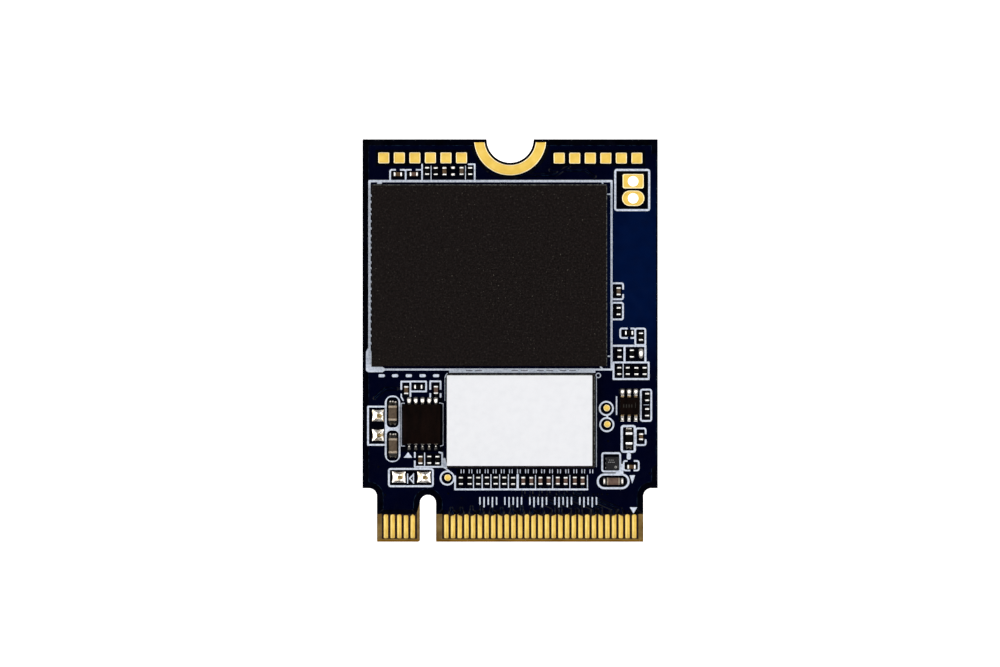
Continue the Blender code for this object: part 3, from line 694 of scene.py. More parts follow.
def draw_top_marks():
    """Round the row of components above the memory, and round the header."""
    draw_frame(-9.02, 11.8, -7.7, 12.8, 0.16, cleared=False)
    draw(0.14, (-7.78, 11.9), (-7.78, 12.72), (-6.58, 12.72))
    draw(0.15, (-6.56, 13.12), (-6.56, 11.9))
    clear(-8.85, 12.05, -7.9, 12.62)
    clear(-7.68, 12.05, -6.72, 12.62)
    leave_gap(-8.52, 12.55, -8.2, 12.9)
    leave_gap(-7.34, 12.55, -7.02, 12.9)
    draw(0.07, (-5.89, 13.0), (-5.89, 12.0))
    draw(0.07, (-3.33, 13.0), (-3.33, 12.0))
    draw(0.16, (-3.1, 13.13), (-2.64, 13.13), (-2.64, 11.9))
    clear(-6.48, 12.03, -2.82, 13.02)
    draw_frame(7.73, 9.615, 10.46, 12.81, 0.2)


def draw_middle_right_marks():
    """Round the components to the right of the memory."""
    draw_frame(7.49, 2.99, 8.5, 4.35, 0.17)
    leave_gap(8.3, 3.46, 8.6, 3.8)
    draw_frame(7.49, 1.49, 8.49, 2.9, 0.17)
    draw_frame(8.12, 0.11, 9.4, 0.98, 0.17)
    leave_gap(8.76, 0.02, 8.97, 0.3)
    leave_gap(8.76, 0.8, 8.97, 1.05)
    draw_frame(9.24, -0.42, 10.16, 0.98, 0.17)
    draw(0.2, (7.6, -0.39), (10.08, -0.39), (10.08, -1.63))
    draw(0.2, (8.52, -0.39), (8.52, -1.63))
    draw(0.18, (7.7, -1.63), (10.32, -1.63), (10.32, -2.87), (7.7, -2.87), (7.7, -1.63))
    draw(0.08, (8.42, -1.63), (8.42, -2.87))
    clear(7.7, -1.54, 8.42, -0.5)
    clear(8.62, -1.54, 10.04, -0.5)
    clear(7.8, -2.78, 10.24, -1.76)


def draw_lower_right_marks():
    """Round the logic chip, the sensor and their neighbours, and round the test points."""
    draw(0.14, (7.93, -4.2), (7.93, -5.5))
    clear(8.1, -6.05, 9.7, -3.55)
    draw_frame(9.65, -6.07, 10.6, -3.57, 0.17)
    draw(0.04, (9.95, -4.79), (10.35, -4.79))
    draw_frame(8.21, -8.39, 9.4, -6.26, 0.22)
    draw_frame(9.27, -7.87, 10.18, -6.46, 0.17)
    leave_gap(10.0, -7.36, 10.3, -6.98)
    draw_frame(6.77, -9.84, 8.29, -8.3, 0.18)
    strokes.append(rounded(8.84, -8.62, 0.3, 0.48, 0.1))
    draw_frame(8.38, -9.76, 9.66, -8.89, 0.16)
    leave_gap(8.74, -9.08, 9.22, -8.87)
    leave_gap(8.95, -9.85, 9.2, -9.55)
    fill((7.85, -10.0), (8.44, -10.0), (8.44, -9.2), (8.2, -9.2), (8.2, -9.75), (7.85, -9.85))
    draw_slot(6.43, -11.1, 8.92, -9.88, 0.2)
    fill((9.1, -10.66), (9.31, -10.03), (8.9, -10.03))
    for node in TEST_POINTS:
        point = test_point(node)
        draw(0.165, *circle(point.x - 0.035, point.y - 0.03, 0.5, 24), closed=True)
    draw(0.18, (7.24, -5.6), (7.24, -5.75))
    fill((9.19, -12.88), (9.47, -12.42), (8.91, -12.42))


def draw_power_marks():
    """Round the power chip, its capacitors, and the strap and diode pads."""
    draw(0.17, (-8.11, -3.62), (-8.11, -3.06), (-7.43, -3.06), (-7.43, -4.15))
    draw(0.14, (-8.11, -4.0), (-8.11, -4.2), (-7.97, -4.45))
    draw(0.17, (-7.43, -3.05), (-6.26, -3.05), (-6.26, -3.79), (-7.43, -3.79))
    draw(0.17, (-5.95, -4.2), (-5.95, -3.04), (-5.18, -3.04), (-5.18, -4.2))
    leave_gap(-6.02, -3.92, -5.8, -3.66)
    leave_gap(-5.28, -3.92, -5.08, -3.66)
    clear(-8.05, -4.3, -7.52, -3.17)
    clear(-7.32, -3.67, -6.34, -3.17)
    clear(-5.82, -4.3, -5.28, -3.17)
    draw_slot(-9.36, -9.08, -8.15, -4.07, 0.19)
    strokes.append(rectangle(-9.22, -7.05, -8.29, -6.15))
    for y in (-5.35, -7.83):
        gaps.append(rounded(-8.755, y, 0.88, 2.26, 0.32))
    draw(0.175, (-9.3, -4.925), (-10.585, -4.925), (-10.585, -7.77), (-9.3, -7.77))
    clear(-10.5, -7.72, -9.4, -5.05)
    draw(0.07, (-5.26, -4.64), (-4.99, -4.7), (-4.99, -7.8), (-5.2, -7.86))
    draw(0.07, (-7.86, -4.67), (-8.1, -4.67), (-8.1, -7.86), (-7.86, -7.86))
    clear(-8.12, -8.3, -5.05, -4.2)
    fill((-7.93, -8.73), (-7.28, -8.73), (-7.6, -8.31))
    draw(0.16, (-7.1, -8.35), (-7.1, -9.41), (-4.9, -9.41))
    leave_gap(-7.2, -8.94, -6.96, -8.73)
    draw(0.1, (-6.37, -8.38), (-6.37, -9.35))
    draw(0.16, (-5.28, -8.33), (-5.06, -8.38), (-5.06, -9.4))
    fill((-4.96, -9.5), (-4.62, -9.5), (-4.84, -8.75), (-4.96, -8.75))
    clear(-6.98, -9.4, -5.2, -8.38)
    draw_frame(-9.12, -10.945, -5.67, -9.475, 0.18)
    draw(0.11, (-7.64, -9.95), (-7.64, -10.62))
    fill((-7.56, -10.28), (-7.16, -10.7), (-7.16, -9.86))
    gaps.append([(-7.42, -10.28), (-7.24, -10.46), (-7.24, -10.1)])


def draw_lower_comb():
    """Round the two rows of components by the edge contacts."""
    base = -11.09
    draw(0.17, (-4.1, -10.1), (-4.1, base), (5.76, base))
    for x, width in ((-2.73, 0.09), (-2.08, 0.11), (-1.43, 0.1), (-0.78, 0.09), (-0.13, 0.09), (0.56, 0.22)):
        draw(width, (x, -10.0), (x, base))
    for x in (1.89, 3.17, 4.45, 5.76):
        draw(0.085, (x, -10.05), (x, base))
    clear(-4.0, -11.0, 5.7, -9.55)


def print_marks():
    draw_memory_outline()
    draw_index_marks()
    draw_controller_outline()
    draw_top_marks()
    draw_middle_right_marks()
    draw_lower_right_marks()
    draw_power_marks()
    draw_lower_comb()
    labelled = [("ink", outline) for outline in strokes] + [("gap", outline) for outline in gaps]

    def classify(labels):
        return (FACE + 0.01, 0) if "ink" in labels and "gap" not in labels else None

    shape = plate(labelled, BARE_FACE - 0.004, classify)
    make_piece("silkscreen", shape, [INK])


# --- The card ----------------------------------------------------------------------------------

# The shape of a contact's root, at the mask: how far across it each point lies, as a share of half
# its width, and how far short of the mask.
ROOTS = {
    "round": [(1, 0.12), (0.72, 0.03), (0, 0), (-0.72, 0.03), (-1, 0.12)],
    "flat": [(1, 0.13), (0.8, 0.08), (0, 0.07), (-0.8, 0.08), (-1, 0.13)],
    "point": [(1, 0.14), (0.5, 0.07), (0, 0), (-0.5, 0.07), (-1, 0.14)],
    "right": [(1, 0), (0.55, 0.05), (0, 0.09), (-0.7, 0.12), (-1, 0.17)],
}
ROOTS["left"] = [(-share, drop) for share, drop in reversed(ROOTS["right"])]


def contact_places(node):
    """The x of each contact in one of the four contact rows, from the right."""
    low, high = box_mm(node)
    count = round((high.x - low.x - CONTACT_WIDTH) / CONTACT_PITCH) + 1
    return [high.x - CONTACT_WIDTH / 2 - CONTACT_PITCH * i for i in range(count)]


def contact_outline(x, root, inset):
    half = CONTACT_WIDTH / 2 - inset
    bottom, top = CONTACT_TIP_Y + inset, MASK_END_Y - 0.004 - inset
    corner = 0.11 - inset
    points = arc(x - half + corner, bottom + corner, corner, 180, 270, 4)
    points += arc(x + half - corner, bottom + corner, corner, 270, 360, 4)
    return points + [(x + half * share, top - drop) for share, drop in ROOTS[root]]


def root_of(index, row):
    """How a contact's root is shaped: signal pairs lean to each other, and grounds are round."""
    if row == "top_narrow":
        return ("point", "flat", "round", "round", "round")[index]
    if row == "bottom_narrow" or index == 0:
        return "round"
    return ("round", "left", "right")[(index - 1) % 3]


def make_contacts():
    for row in ("top_wide", "top_narrow", "bottom_wide", "bottom_narrow"):
        node = f"edge_contacts_{row}"
        if "top" in row:
            foot, face, up, plating = MASK_LOW.z, FACE, 1, CONTACT_GOLD
        else:
            foot, face, up, plating = UNDER_SEAT, UNDER_FACE, -1, CONTACT_GOLD_UNDER
        levels = ((foot, 0), (face - up * 0.016, 0), (face - up * 0.007, 0.01), (face, 0.022))
        shape = bmesh.new()
        for index, x in enumerate(contact_places(node)):
            root = root_of(index, row)
            loft(shape, [at_level(contact_outline(x, root, inset), z) for z, inset in levels])
        # The contacts' slopes take the painted-shade gold, except those that face -X.
        paint_slopes(shape)
        for side in shape.faces:
            if side.normal.x < -0.3:
                side.material_index = 0
        make_piece(node.replace("edge_", ""), shape, [plating, GOLD_SHADE_SIDES], [node], 50, True)


def upper_traces():
    """Copper under the upper mask, as lines of points: signal pairs from the contacts to the coupling
    capacitors, and short runs to vias."""
    traces = []
    capacitors = centre_mm("capacitor_row_lower")
    places = contact_places("edge_contacts_top_wide")
    pairs = [(places[i + 1], places[i]) for i in range(2, len(places) - 1, 3)]
    for i, pair in enumerate(pairs[:4]):
        cap_x = capacitors.x + PAIR_PITCH * (1.5 - i) - 0.29
        bend = -11.35 - 0.06 * i
        for x, start_x in zip(pair, (cap_x, cap_x + 0.585)):
            low_bend = bend - abs(x - start_x) * 0.42
            traces.append([(start_x, -10.9), (start_x, bend), (x, low_bend), (x, MASK_END_Y)])
    for i, pair in enumerate(pairs[4:]):
        for x, lean in zip(pair, (-0.12, 0.12)):
            traces.append([(x, MASK_END_Y), (x + lean, -12.75), (x + lean, -12.5 + 0.1 * (i % 2))])
    traces.append([(-8.45, -3.59), (-9.3, -3.59), (-10.1, -4.3)])
    traces.append([(-1.5, 12.6), (0.4, 12.35), (3.4, 12.35), (4.4, 13.0)])
    traces.append([(3.0, 12.7), (5.6, 12.7), (6.3, 12.2)])
    return traces


def lower_traces():
    """Copper under the lower mask: runs from the contacts, and three bundles that bend together."""
    traces = []
    for i, x in enumerate(contact_places("edge_contacts_bottom_wide")):
        if i % 4 != 3:
            y = -12.2 + 0.13 * (i % 4)
            traces.append([(x, MASK_END_Y), (x, y), (x + 0.5, y + 0.5), (x + 0.5, y + 1.1 + 0.3 * (i % 3))])
    for i in range(9):
        x, up = -8.2 + 0.34 * i, -0.14 * i
        traces.append([(x, -9.8), (x, up - 4.0), (x + 2.4, up - 1.6), (x + 2.4, 6.5 - 0.2 * i)])
    for i in range(6):
        x, y = 5.4 + 0.34 * i, 9.6 + 0.34 * i
        traces.append([(-8.8, y), (3.5 + 0.14 * i, y), (x, 7.7 + 0.14 * i), (x, 2.5)])
    for i in range(5):
        x = 7.0 + 0.36 * i
        traces.append([(x, -9.3), (x, -3.5 + 0.15 * i), (x - 1.3, -2.2 + 0.15 * i), (x - 1.3, 1.2)])
    return traces


def upper_vias():
    """Small plated holes under the upper mask."""
    vias = [(x, -12.72) for x in contact_places("edge_contacts_top_wide")[1::3]]
    vias += [(5.9 + 0.31 * i, -11.45) for i in range(4)] + [(7.24, -11.45)]
    vias += [(7.3, -7.5), (10.4, -9.9), (-9.8, -9.4), (-9.3, -11.5), (-4.6, -11.4), (-3.6, -11.7)]
    return vias


def package_grid(node, pitch, columns, rows, wanted):
    """The places in a grid under a package, by column, that wanted picks."""
    middle = centre_mm(node)
    return [
        (middle.x + pitch * (i - (columns - 1) / 2), middle.y + pitch * (j - (rows - 1) / 2))
        for i in range(columns)
        for j in range(rows)
        if wanted(i, j)
    ]


def lower_vias():
    """Small plated holes under the lower mask."""
    vias = package_grid("memory_substrate", 1.0, 12, 6, lambda i, j: (i + 2 * j) % 3)
    vias += package_grid("controller_substrate", 0.65, 11, 7, lambda i, j: (i * 3 + j * 2) % 5)
    return vias + [(x, -12.72) for x in contact_places("edge_contacts_bottom_wide")[3::4]]


def relief(traces, vias, cleared):
    """Labelled outlines of the copper under a mask: planes, traces and vias, each with a sloped edge."""
    pour_end, slope = -12.6, 0.035
    labelled = [("pour_skirt", card_outline(0.45, pour_end + 0.03)), ("pour", card_outline(0.49, pour_end))]
    for x0, y0, x1, y1 in cleared:
        labelled.append(("clear", rectangle(x0, y0, x1, y1)))
        labelled.append(("clear_floor", rectangle(x0 + slope, y0 + slope, x1 - slope, y1 - slope)))
    for trace in traces:
        for label, width in (("moat", 0.3), ("trace_skirt", 0.15), ("trace", 0.1)):
            labelled += [(label, outline) for outline in stroke(trace, width)]
    for x, y in vias:
        labelled.append(("via", circle(x, y, 0.17, 14)))
        labelled.append(("dimple", circle(x, y, 0.09, 12)))
        labelled.append(("dimple_floor", circle(x, y, 0.05, 8)))
    return labelled


def mask_classes(face, bare_face):
    """How plate treats a mask: over copper, over laminate, or thin over the copper's outer edge, where it
    takes a painted highlight.
    """

    def classify(labels):
        if "mask" not in labels or "opening" in labels:
            return None
        if "dimple" in labels:
            return bare_face, 1
        if "trace" in labels or "via" in labels:
            return face, 0
        # The skirts of traces and planes take the pale edge material: a painted highlight.
        if "trace_skirt" in labels or ("pour_skirt" in labels and "pour" not in labels):
            return bare_face, 2
        if "pour" in labels and "clear" not in labels and "moat" not in labels:
            return face, 0
        return bare_face, 1

    return classify


def ring_opening(margin):
    """The opening in a mask for the ring round the notch."""
    points = []
    for radius, direction in ((RING_OUTER + margin, 1), (RING_INNER - margin, -1)):
        start = math.degrees(math.asin((RING_PULL_BACK - margin) / radius))
        points += arc(0, NOTCH_Y, radius, 180 + start, 360 - start, RING_STEPS)[::direction]
    return points


def make_mask(side, relief_lines, openings, seat, classify):
    labelled = [*relief_lines, ("mask", card_outline(0.0, MASK_END_Y, 0.22))]
    labelled.append(("clear", circle(0, NOTCH_Y, RING_OUTER + 0.3, 48)))
    labelled += [("opening", outline) for outline in openings]
    name, node = {"top": "upper", "bottom": "lower"}[side], f"solder_mask_{side}"
    finishes = [MASK_COPPER, MASK_BARE, MASK_EDGE_HIGHLIGHT]
    make_piece(f"solder_mask_{name}", plate(labelled, seat, classify), finishes, [node], 5)


def make_masks():
    margin = 0.01  # from a pad to the edge of its opening
    pad_reach, point_reach = 0.62, 0.42  # from a pad's or a test point's middle to the copper round it
    through = [ring_opening(margin)] + [header_plan(node, margin) for node in HEADERS]
    openings, cleared = list(through), list(clearings)
    for node in PAD_ROWS:
        side = TEST_PAD + 2 * margin
        for x, y in pad_centres(node):
            openings.append(rounded(x, y, side, side, 0.09))
            cleared.append((x - pad_reach, y - pad_reach, x + pad_reach, y + pad_reach))
    for node in LANDS:
        for x0, y0, x1, y1 in end_pads(node):
            openings.append(rectangle(x0 + margin, y0 + margin, x1 - margin, y1 - margin))
    for node in TEST_POINTS:
        x, y, _ = test_point(node)
        openings.append(circle(x, y, TEST_POINT_RADIUS + margin, 24))
        cleared.append((x - point_reach, y - point_reach, x + point_reach, y + point_reach))
    lines = relief(upper_traces(), upper_vias(), cleared)
    # A plane of copper runs up the card's right side, nearer to its edge.
    left, right, top = 10.2, HALF_WIDTH - 0.14, 13.9
    for label, grown in (("pour_skirt", 0.03), ("pour", 0.0)):
        x, y = right + grown, top + grown
        lines.append((label, [(left, -9.9), (x, -9.2), (x, y), (left, y)]))
    make_mask("top", lines, openings, MASK_LOW.z, mask_classes(FACE, BARE_FACE))
    header_clearing = (7.9, 9.7, 10.4, 12.7)
    lines = relief(lower_traces(), lower_vias(), [header_clearing])
    make_mask("bottom", lines, through, UNDER_SEAT, mask_classes(UNDER_FACE, UNDER_BARE_FACE))


def make_laminate():
    """The glass-epoxy core, bevelled where it enters the socket."""
    lead_in, lead_in_depth = 0.2, 0.1
    planes_inset, hole = 0.4, 0.455
    labelled = [("card", card_outline(0, EDGE_Y))]
    labelled.append(("planes", card_outline(planes_inset, MASK_END_Y + 0.1)))
    labelled.append(("end", rectangle(-12, EDGE_Y - 1, 12, EDGE_Y + lead_in)))
    # The fields round the contact rows take the darker laminate as well.
    for node in ("edge_contacts_top_wide", "edge_contacts_top_narrow"):
        low, high = box_mm(node)
        labelled.append(("planes", rectangle(low.x - 0.14, low.y + 0.03, high.x + 0.14, MASK_END_Y + 0.2)))
    for node in HEADERS:
        middle = centre_mm(node)
        labelled.append(("hole", circle(middle.x, middle.y, hole, 24)))

    def classify(labels):
        if "card" not in labels or "hole" in labels:
            return None
        return LAMINATE_TOP, 1 if "planes" in labels else 0

    shape = plate(labelled, UNDER_SEAT, classify)
    for vertex in shape.verts:
        reach = EDGE_Y + lead_in - vertex.co.y
        if reach > 1e-4:
            fall = lead_in_depth * min(1, reach / lead_in)
            upper = vertex.co.z > LAMINATE_TOP / 2
            vertex.co.z = LAMINATE_TOP - fall if upper else UNDER_SEAT + fall
    make_piece("laminate", shape, [LAMINATE, LAMINATE_DARK], ["circuit_board"], 30)


def make_rings():
    """The copper rings round the notch. Their profile is swept from one end to the other."""
    for name, side, sign in (("upper", "top", 1), ("lower", "bottom", -1)):
        node = f"mounting_pad_{side}"
        foot, face = [corner.z for corner in box_mm(node)][::sign]
        half = [(0, foot), (0, face - sign * 0.02), (0.02, face - sign * 0.012), (0.06, face)]
        profile = [(RING_INNER + inset, z) for inset, z in half]
        profile += [(RING_OUTER - inset, z) for inset, z in reversed(half)]
        rings = []
        for i in range(RING_STEPS + 1):
            ring = []
            for radius, z in profile:
                start = math.asin(RING_PULL_BACK / radius)
                turn = math.pi + start + (math.pi - 2 * start) * i / RING_STEPS
                if i in (0, RING_STEPS):
                    z = foot + (z - foot) * 0.4
                ring.append((radius * math.cos(turn), NOTCH_Y + radius * math.sin(turn), z))
            rings.append(ring)
        make_gold(f"notch_ring_{name}", loft(bmesh.new(), rings), node, 50)


def pad_centres(node):
    """The centres of the square test pads in a row."""
    low, high = [corner + Vector(PAD_ROWS[node]) for corner in box_mm(node)]
    side = high.y - low.y
    count = 6
    pitch = (high.x - low.x - side) / (count - 1)
    return [(low.x + side / 2 + pitch * i, (low.y + high.y) / 2) for i in range(count)]


def coined_pad(shape, x, y, side, high, radius, rim):
    """A square or round pad whose rim slopes down to the mask round it."""
    levels = ((MASK_LOW.z, 0), (high - 0.02, 0), (high - 0.008, rim * 0.4), (high, rim))
    return loft(shape, tier(x, y, side, side, radius, 0.015, levels))


def make_test_pads():
    for node in PAD_ROWS:
        shape = bmesh.new()
        for x, y in pad_centres(node):
            coined_pad(shape, x, y, TEST_PAD, box_mm(node)[1].z, 0.09, 0.06)
        make_gold(node.replace("pads", "pad_row"), shape, node, 25, False)
    for node in TEST_POINTS:
        x, y, _ = test_point(node)
        radius = TEST_POINT_RADIUS
        shape = coined_pad(bmesh.new(), x, y, 2 * radius, box_mm(node)[1].z, radius - 0.001, 0.05)
        make_gold(node + "_gold", shape, node, 25, False)


def header_plan(node, margin):
    """The outline of a header pad, as the points that rays from the middle of its hole meet.

    The first pad has square corners, and the ends of the second are half-round.
    """
    middle, (low, high) = centre_mm(node), box_mm(node)
    half_x, half_y = (high.x - low.x) / 2 - 0.035 + margin, (high.y - low.y) / 2 - 0.025 + margin
    corner = 0.06 if node == HEADERS[0] else half_y
    core_x, core_y = half_x - corner, half_y - corner
    points = []
    for i in range(HEADER_STEPS):
        turn = 2 * math.pi * i / HEADER_STEPS
        c, s = abs(math.cos(turn)), abs(math.sin(turn))
        if half_x * s <= core_y * c:
            reach = half_x / c
        elif half_y * c <= core_x * s:
            reach = half_y / s
        else:
            along = c * core_x + s * core_y
            reach = along + math.sqrt(max(0, along**2 - core_x**2 - core_y**2 + corner**2))
        points.append((middle.x + reach * math.cos(turn), middle.y + reach * math.sin(turn)))
    return points


def make_headers():
    """Each plated hole: a pad on both faces, and the barrel between them."""
    hole, barrel = 0.385, 0.448
    for node in HEADERS:
        low, high = box_mm(node)
        middle = centre_mm(node)
        # The circles, as (radius, how far in from the face), and the pad's outlines, as (margin, how
        # far in), from the mouth of the hole to where the pad ends on the barrel.
        lip = [(hole, 0.03), (hole + 0.006, 0.008), (hole + 0.02, 0)]
        pad = [(-0.06, 0), (0, 0.015), (0, 0.025)]
        rings = []
        for face, inward in ((low.z, 1), (high.z, -1)):
            around = [(circle(middle.x, middle.y, radius, HEADER_STEPS), depth) for radius, depth in lip]
            around += [(header_plan(node, margin), depth) for margin, depth in pad]
            around.append((circle(middle.x, middle.y, barrel, HEADER_STEPS), 0.025))
            rings += [at_level(outline, face + inward * depth) for outline, depth in around[::inward]]
        rings.append(rings[0])
        shape = loft(bmesh.new(), rings, close_start=False, close_end=False)
        bmesh.ops.remove_doubles(shape, verts=shape.verts, dist=1e-5)
        make_gold(node.replace("plated_hole", "header_pad"), shape, node, 40)


# --- Solder ------------------------------------------------------------------------------------


def bead(shape, outline, low, height, material=0, summit=(0, 0), waves=0.0, seed=0, crown=2.4):
    """Solder heaped over an outline. It gets rounder towards its summit, which lies off its middle.

    A high crown makes its top flatter and its sides steeper.
    """
    wobble = random.Random(seed)
    phases = [wobble.uniform(0, 6.28) for _ in range(4)]
    count = len(outline)
    cx, cy = sum(x for x, _ in outline) / count, sum(y for _, y in outline) / count
    reach = min(math.hypot(x - cx, y - cy) for x, y in outline)
    rings = []
    for share in (1.0, 0.97, 0.9, 0.78, 0.62, 0.44, 0.26, 0.1):
        ring = []
        for x, y in outline:
            turn = math.atan2(y - cy, x - cx)
            own, blend = math.hypot(x - cx, y - cy), share**2
            radius = share * (own * blend + reach * (1 - blend))
            px = cx + summit[0] * (1 - share) + radius * math.cos(turn)
            py = cy + summit[1] * (1 - share) + radius * math.sin(turn)
            ripple = math.sin(9 * px + phases[0]) + math.sin(11 * py + phases[1])
            ripple += math.sin(17 * (px + py) + phases[2]) + math.sin(19 * (px - py) + phases[3])
            rise = (1 - share**crown) * (1 + waves * ripple)
            ring.append((px, py, low + height * rise))
        rings.append(ring)
    return loft(shape, rings, material)


def pinched(x0, y0, x1, y1, pinch, seed):
    """A rectangle whose sides pull in between its corners, a little unevenly."""
    wobble = random.Random(seed)
    lean = [wobble.uniform(0.6, 1.4) for _ in range(4)]
    corners = rectangle(x0, y0, x1, y1)
    points = []
    steps = 10
    for side, ((ax, ay), (bx, by)) in enumerate(zip(corners, corners[1:] + corners[:1])):
        length = math.hypot(bx - ax, by - ay)
        for i in range(steps):
            share = i / steps
            sag = pinch * lean[side] * math.sin(math.pi * share) ** 0.8
            sag += 0.012 * math.sin(share * 9 + side)
            x, y = ax + (bx - ax) * share, ay + (by - ay) * share
            points.append((x - (by - ay) / length * sag, y + (bx - ax) / length * sag))
    return points


def drop_outline(x, y0, y1, width0, width1, corner=0.7):
    """A rounded outline along Y whose width goes from width0 at y0 to width1 at y1.

    A small corner makes it squarer.
    """
    points = []
    steps = 20
    for i in range(steps):
        turn = 2 * math.pi * i / steps
        across, along = [math.copysign(abs(v) ** corner, v) for v in (math.cos(turn), math.sin(turn))]
        share = (1 + along) / 2
        width = width0 + (width1 - width0) * share
        points.append((x + across * width / 2, y0 + (y1 - y0) * share))
    return points if y1 > y0 else points[::-1]


def end_pads(node):
    """The two pads at the ends of a two-pad node, as (x0, y0, x1, y1)."""
    shift, size = LANDS[node]
    (x0, y0, _), (x1, y1, _) = [corner + Vector(shift) for corner in box_mm(node)]
    if y1 - y0 > x1 - x0:
        return [(x0, y0, x1, y0 + size), (x0, y1 - size, x1, y1)]
    return [(x0, y0, x0 + size, y1), (x1 - size, y0, x1, y1)]


def make_bare_lands():
    """The tinned pads that carry no component, and the blob that bridges two lands."""
    inset, pinch = 0.012, 0.045
    for index, node in enumerate(LANDS):
        high = box_mm(node)[1].z
        shape = bmesh.new()
        for i, (x0, y0, x1, y1) in enumerate(end_pads(node)):
            seed = 11 + 2 * index + i
            outline = pinched(x0 + inset, y0 + inset, x1 - inset, y1 - inset, pinch, seed)
            loft(shape, [at_level(outline, z) for z in (MASK_LOW.z, high)])
            bead(shape, outline, high - 0.003, 0.085, 0, (0.12, -0.03), 0.13, seed)
            flux_x, flux_y = (x0 + x1) / 2 + 0.1, (y0 + y1) / 2 - 0.02
            for face in shape.faces:
                place = face.calc_center_median()
                away = math.hypot((place.x - flux_x) / 1.25, place.y - flux_y)
                if away < 0.17 and place.z > high:
                    face.material_index = 1
        make_solder(f"{node}_solder", shape, [SOLDER, FLUX], node)
    low, high = box_mm("solder_bridge")
    outline = drop_outline(centre_mm("solder_bridge").x, low.y, high.y, 0.34, high.x - low.x)
    shape = bead(bmesh.new(), outline, low.z - 0.004, high.z - low.z, 0, waves=0.02, seed=5, crown=6)
    make_solder("solder_blob", shape, [SOLDER_SATIN], "solder_bridge")


# --- Chip components ---------------------------------------------------------------------------

# The fifth material is solder painted dark: painted shade.
BODY, CAPS, SHINY, BASE, SHADED_SOLDER = range(5)  # a component's materials. SHINY and SHADED_SOLDER are its solder.
LARGE = 0.8  # a component longer than this is a large one


def turned(points, x, y, runs_along):
    """Points drawn with their length along Y, turned to run along X where asked, and moved."""
    if runs_along == "Y":
        return [(x + px, y + py, pz) for px, py, pz in points]
    return [(x + py, y - px, pz) for px, py, pz in points]


def bar(shape, place, width, ends, levels, edge, material):
    """A bar along a component's length, with rounded long edges and ends."""
    (start, end), (low, high) = ends, levels
    profile = [(start, 0.8), (start + edge * 0.3, 0.25), (start + edge, 0)]
    profile += [(end - edge, 0), (end - edge * 0.3, 0.25), (end, 0.8)]
    rings = []
    for along, share in profile:
        inset = edge * share
        wide, tall = width - 2 * inset, high - low - 2 * inset
        section = rounded(0, (low + high) / 2, wide, tall, edge - inset / 2, 3)
        rings.append(turned([(px, along, pz) for px, pz in section], *place))
    return loft(shape, rings, material)


def fillet(shape, x, y, direction, width, height, reach):
    """Solder that runs down from a component's end to its land, in the darkened solder: painted shade.
    direction is the way it faces.
    """
    dx, dy = direction
    steps, sides = 6, 8
    rings = []
    for i in range(steps + 1):
        share = i / steps
        along = reach * share
        tall = height * (1 - share) ** 1.7 + 0.012
        wide = width * (1 + 0.12 * min(1, share * 2)) * (1 - max(0, share - 0.75) * 1.2)
        ring = []
        for j in range(sides + 1):
            turn = math.pi * j / sides
            across = math.cos(turn) * wide / 2
            up = math.sin(turn) ** 0.75 * tall if 0 < j < sides else 0
            ring.append((x + dx * along - dy * across, y + dy * along + dx * across, FLOOR + up))
        rings.append(ring)
    return loft(shape, rings, SHADED_SOLDER)


def solder_end(shape, place, side, size, wobble, seed):
    """Solder at one end of a component: a fillet, and a bar or lumps in front of a large component."""
    (x, y, runs_along), (width, length, height) = place, size
    end = length / 2
    dx, dy = (0, side) if runs_along == "Y" else (side, 0)
    start_x, start_y = x + dx * (end - 0.035), y + dy * (end - 0.035)
    if length <= LARGE:
        reach = 0.1 + wobble.uniform(-0.01, 0.02)
        fillet(shape, start_x, start_y, (dx, dy), width * 0.9, height * 0.8, reach)
        return
    fillet(shape, start_x, start_y, (dx, dy), width * 0.9, height * 0.35, 0.3)
    if runs_along == "X":
        outline = rounded(x + side * (end + 0.2), y, 0.17, width * 0.92, 0.06)
        bead(shape, outline, FLOOR, 0.1, SHINY, waves=0.03, seed=seed, crown=7)
        return
    # The lumps at the -side end are smaller and take the darkened solder: painted shade.
    leans, tall, material = ((-0.3, 0.0, 0.3), 0.075, SHINY) if side > 0 else ((-0.28, 0.28), 0.05, SHADED_SOLDER)
    for lean in leans:
        across = width * (lean + wobble.uniform(-0.04, 0.04))
        along = end + 0.28 + wobble.uniform(-0.02, 0.02)
        outline = rounded(x - side * across, y + side * along, 0.13, 0.12, 0.05)
        bead(shape, outline, FLOOR, tall + wobble.uniform(0, 0.03), material, crown=6)


def component(kind, x, y, runs_along, size, cap, seed, low):
    """A chip component with its end caps and solder."""
    shape = bmesh.new()
    width, length, height = size
    wobble = random.Random(seed)
    x += wobble.uniform(-0.012, 0.012)
    y += wobble.uniform(-0.012, 0.012)
    place, end, top = (x, y, runs_along), length / 2, low + height
    inner = (0.03 - end, end - 0.03)
    if kind == "resistor":
        bar(shape, place, width - 0.04, inner, (low + 0.01, top - 0.035), 0.012, BASE)
        coat = end - cap * 0.8
        bar(shape, place, width - 0.02, (-coat, coat), (low + 0.03, top - 0.006), 0.012, BODY)
    else:
        bar(shape, place, width - 0.03, inner, (low + 0.012, top - 0.012), 0.03, BODY)
    edge = 0.035 if length > LARGE else 0.05
    for side in (-1, 1):
        bar(shape, place, width, sorted((side * end, side * (end - cap))), (low, top), edge, CAPS)
        solder_end(shape, place, side, size, wobble, seed)
    return shape


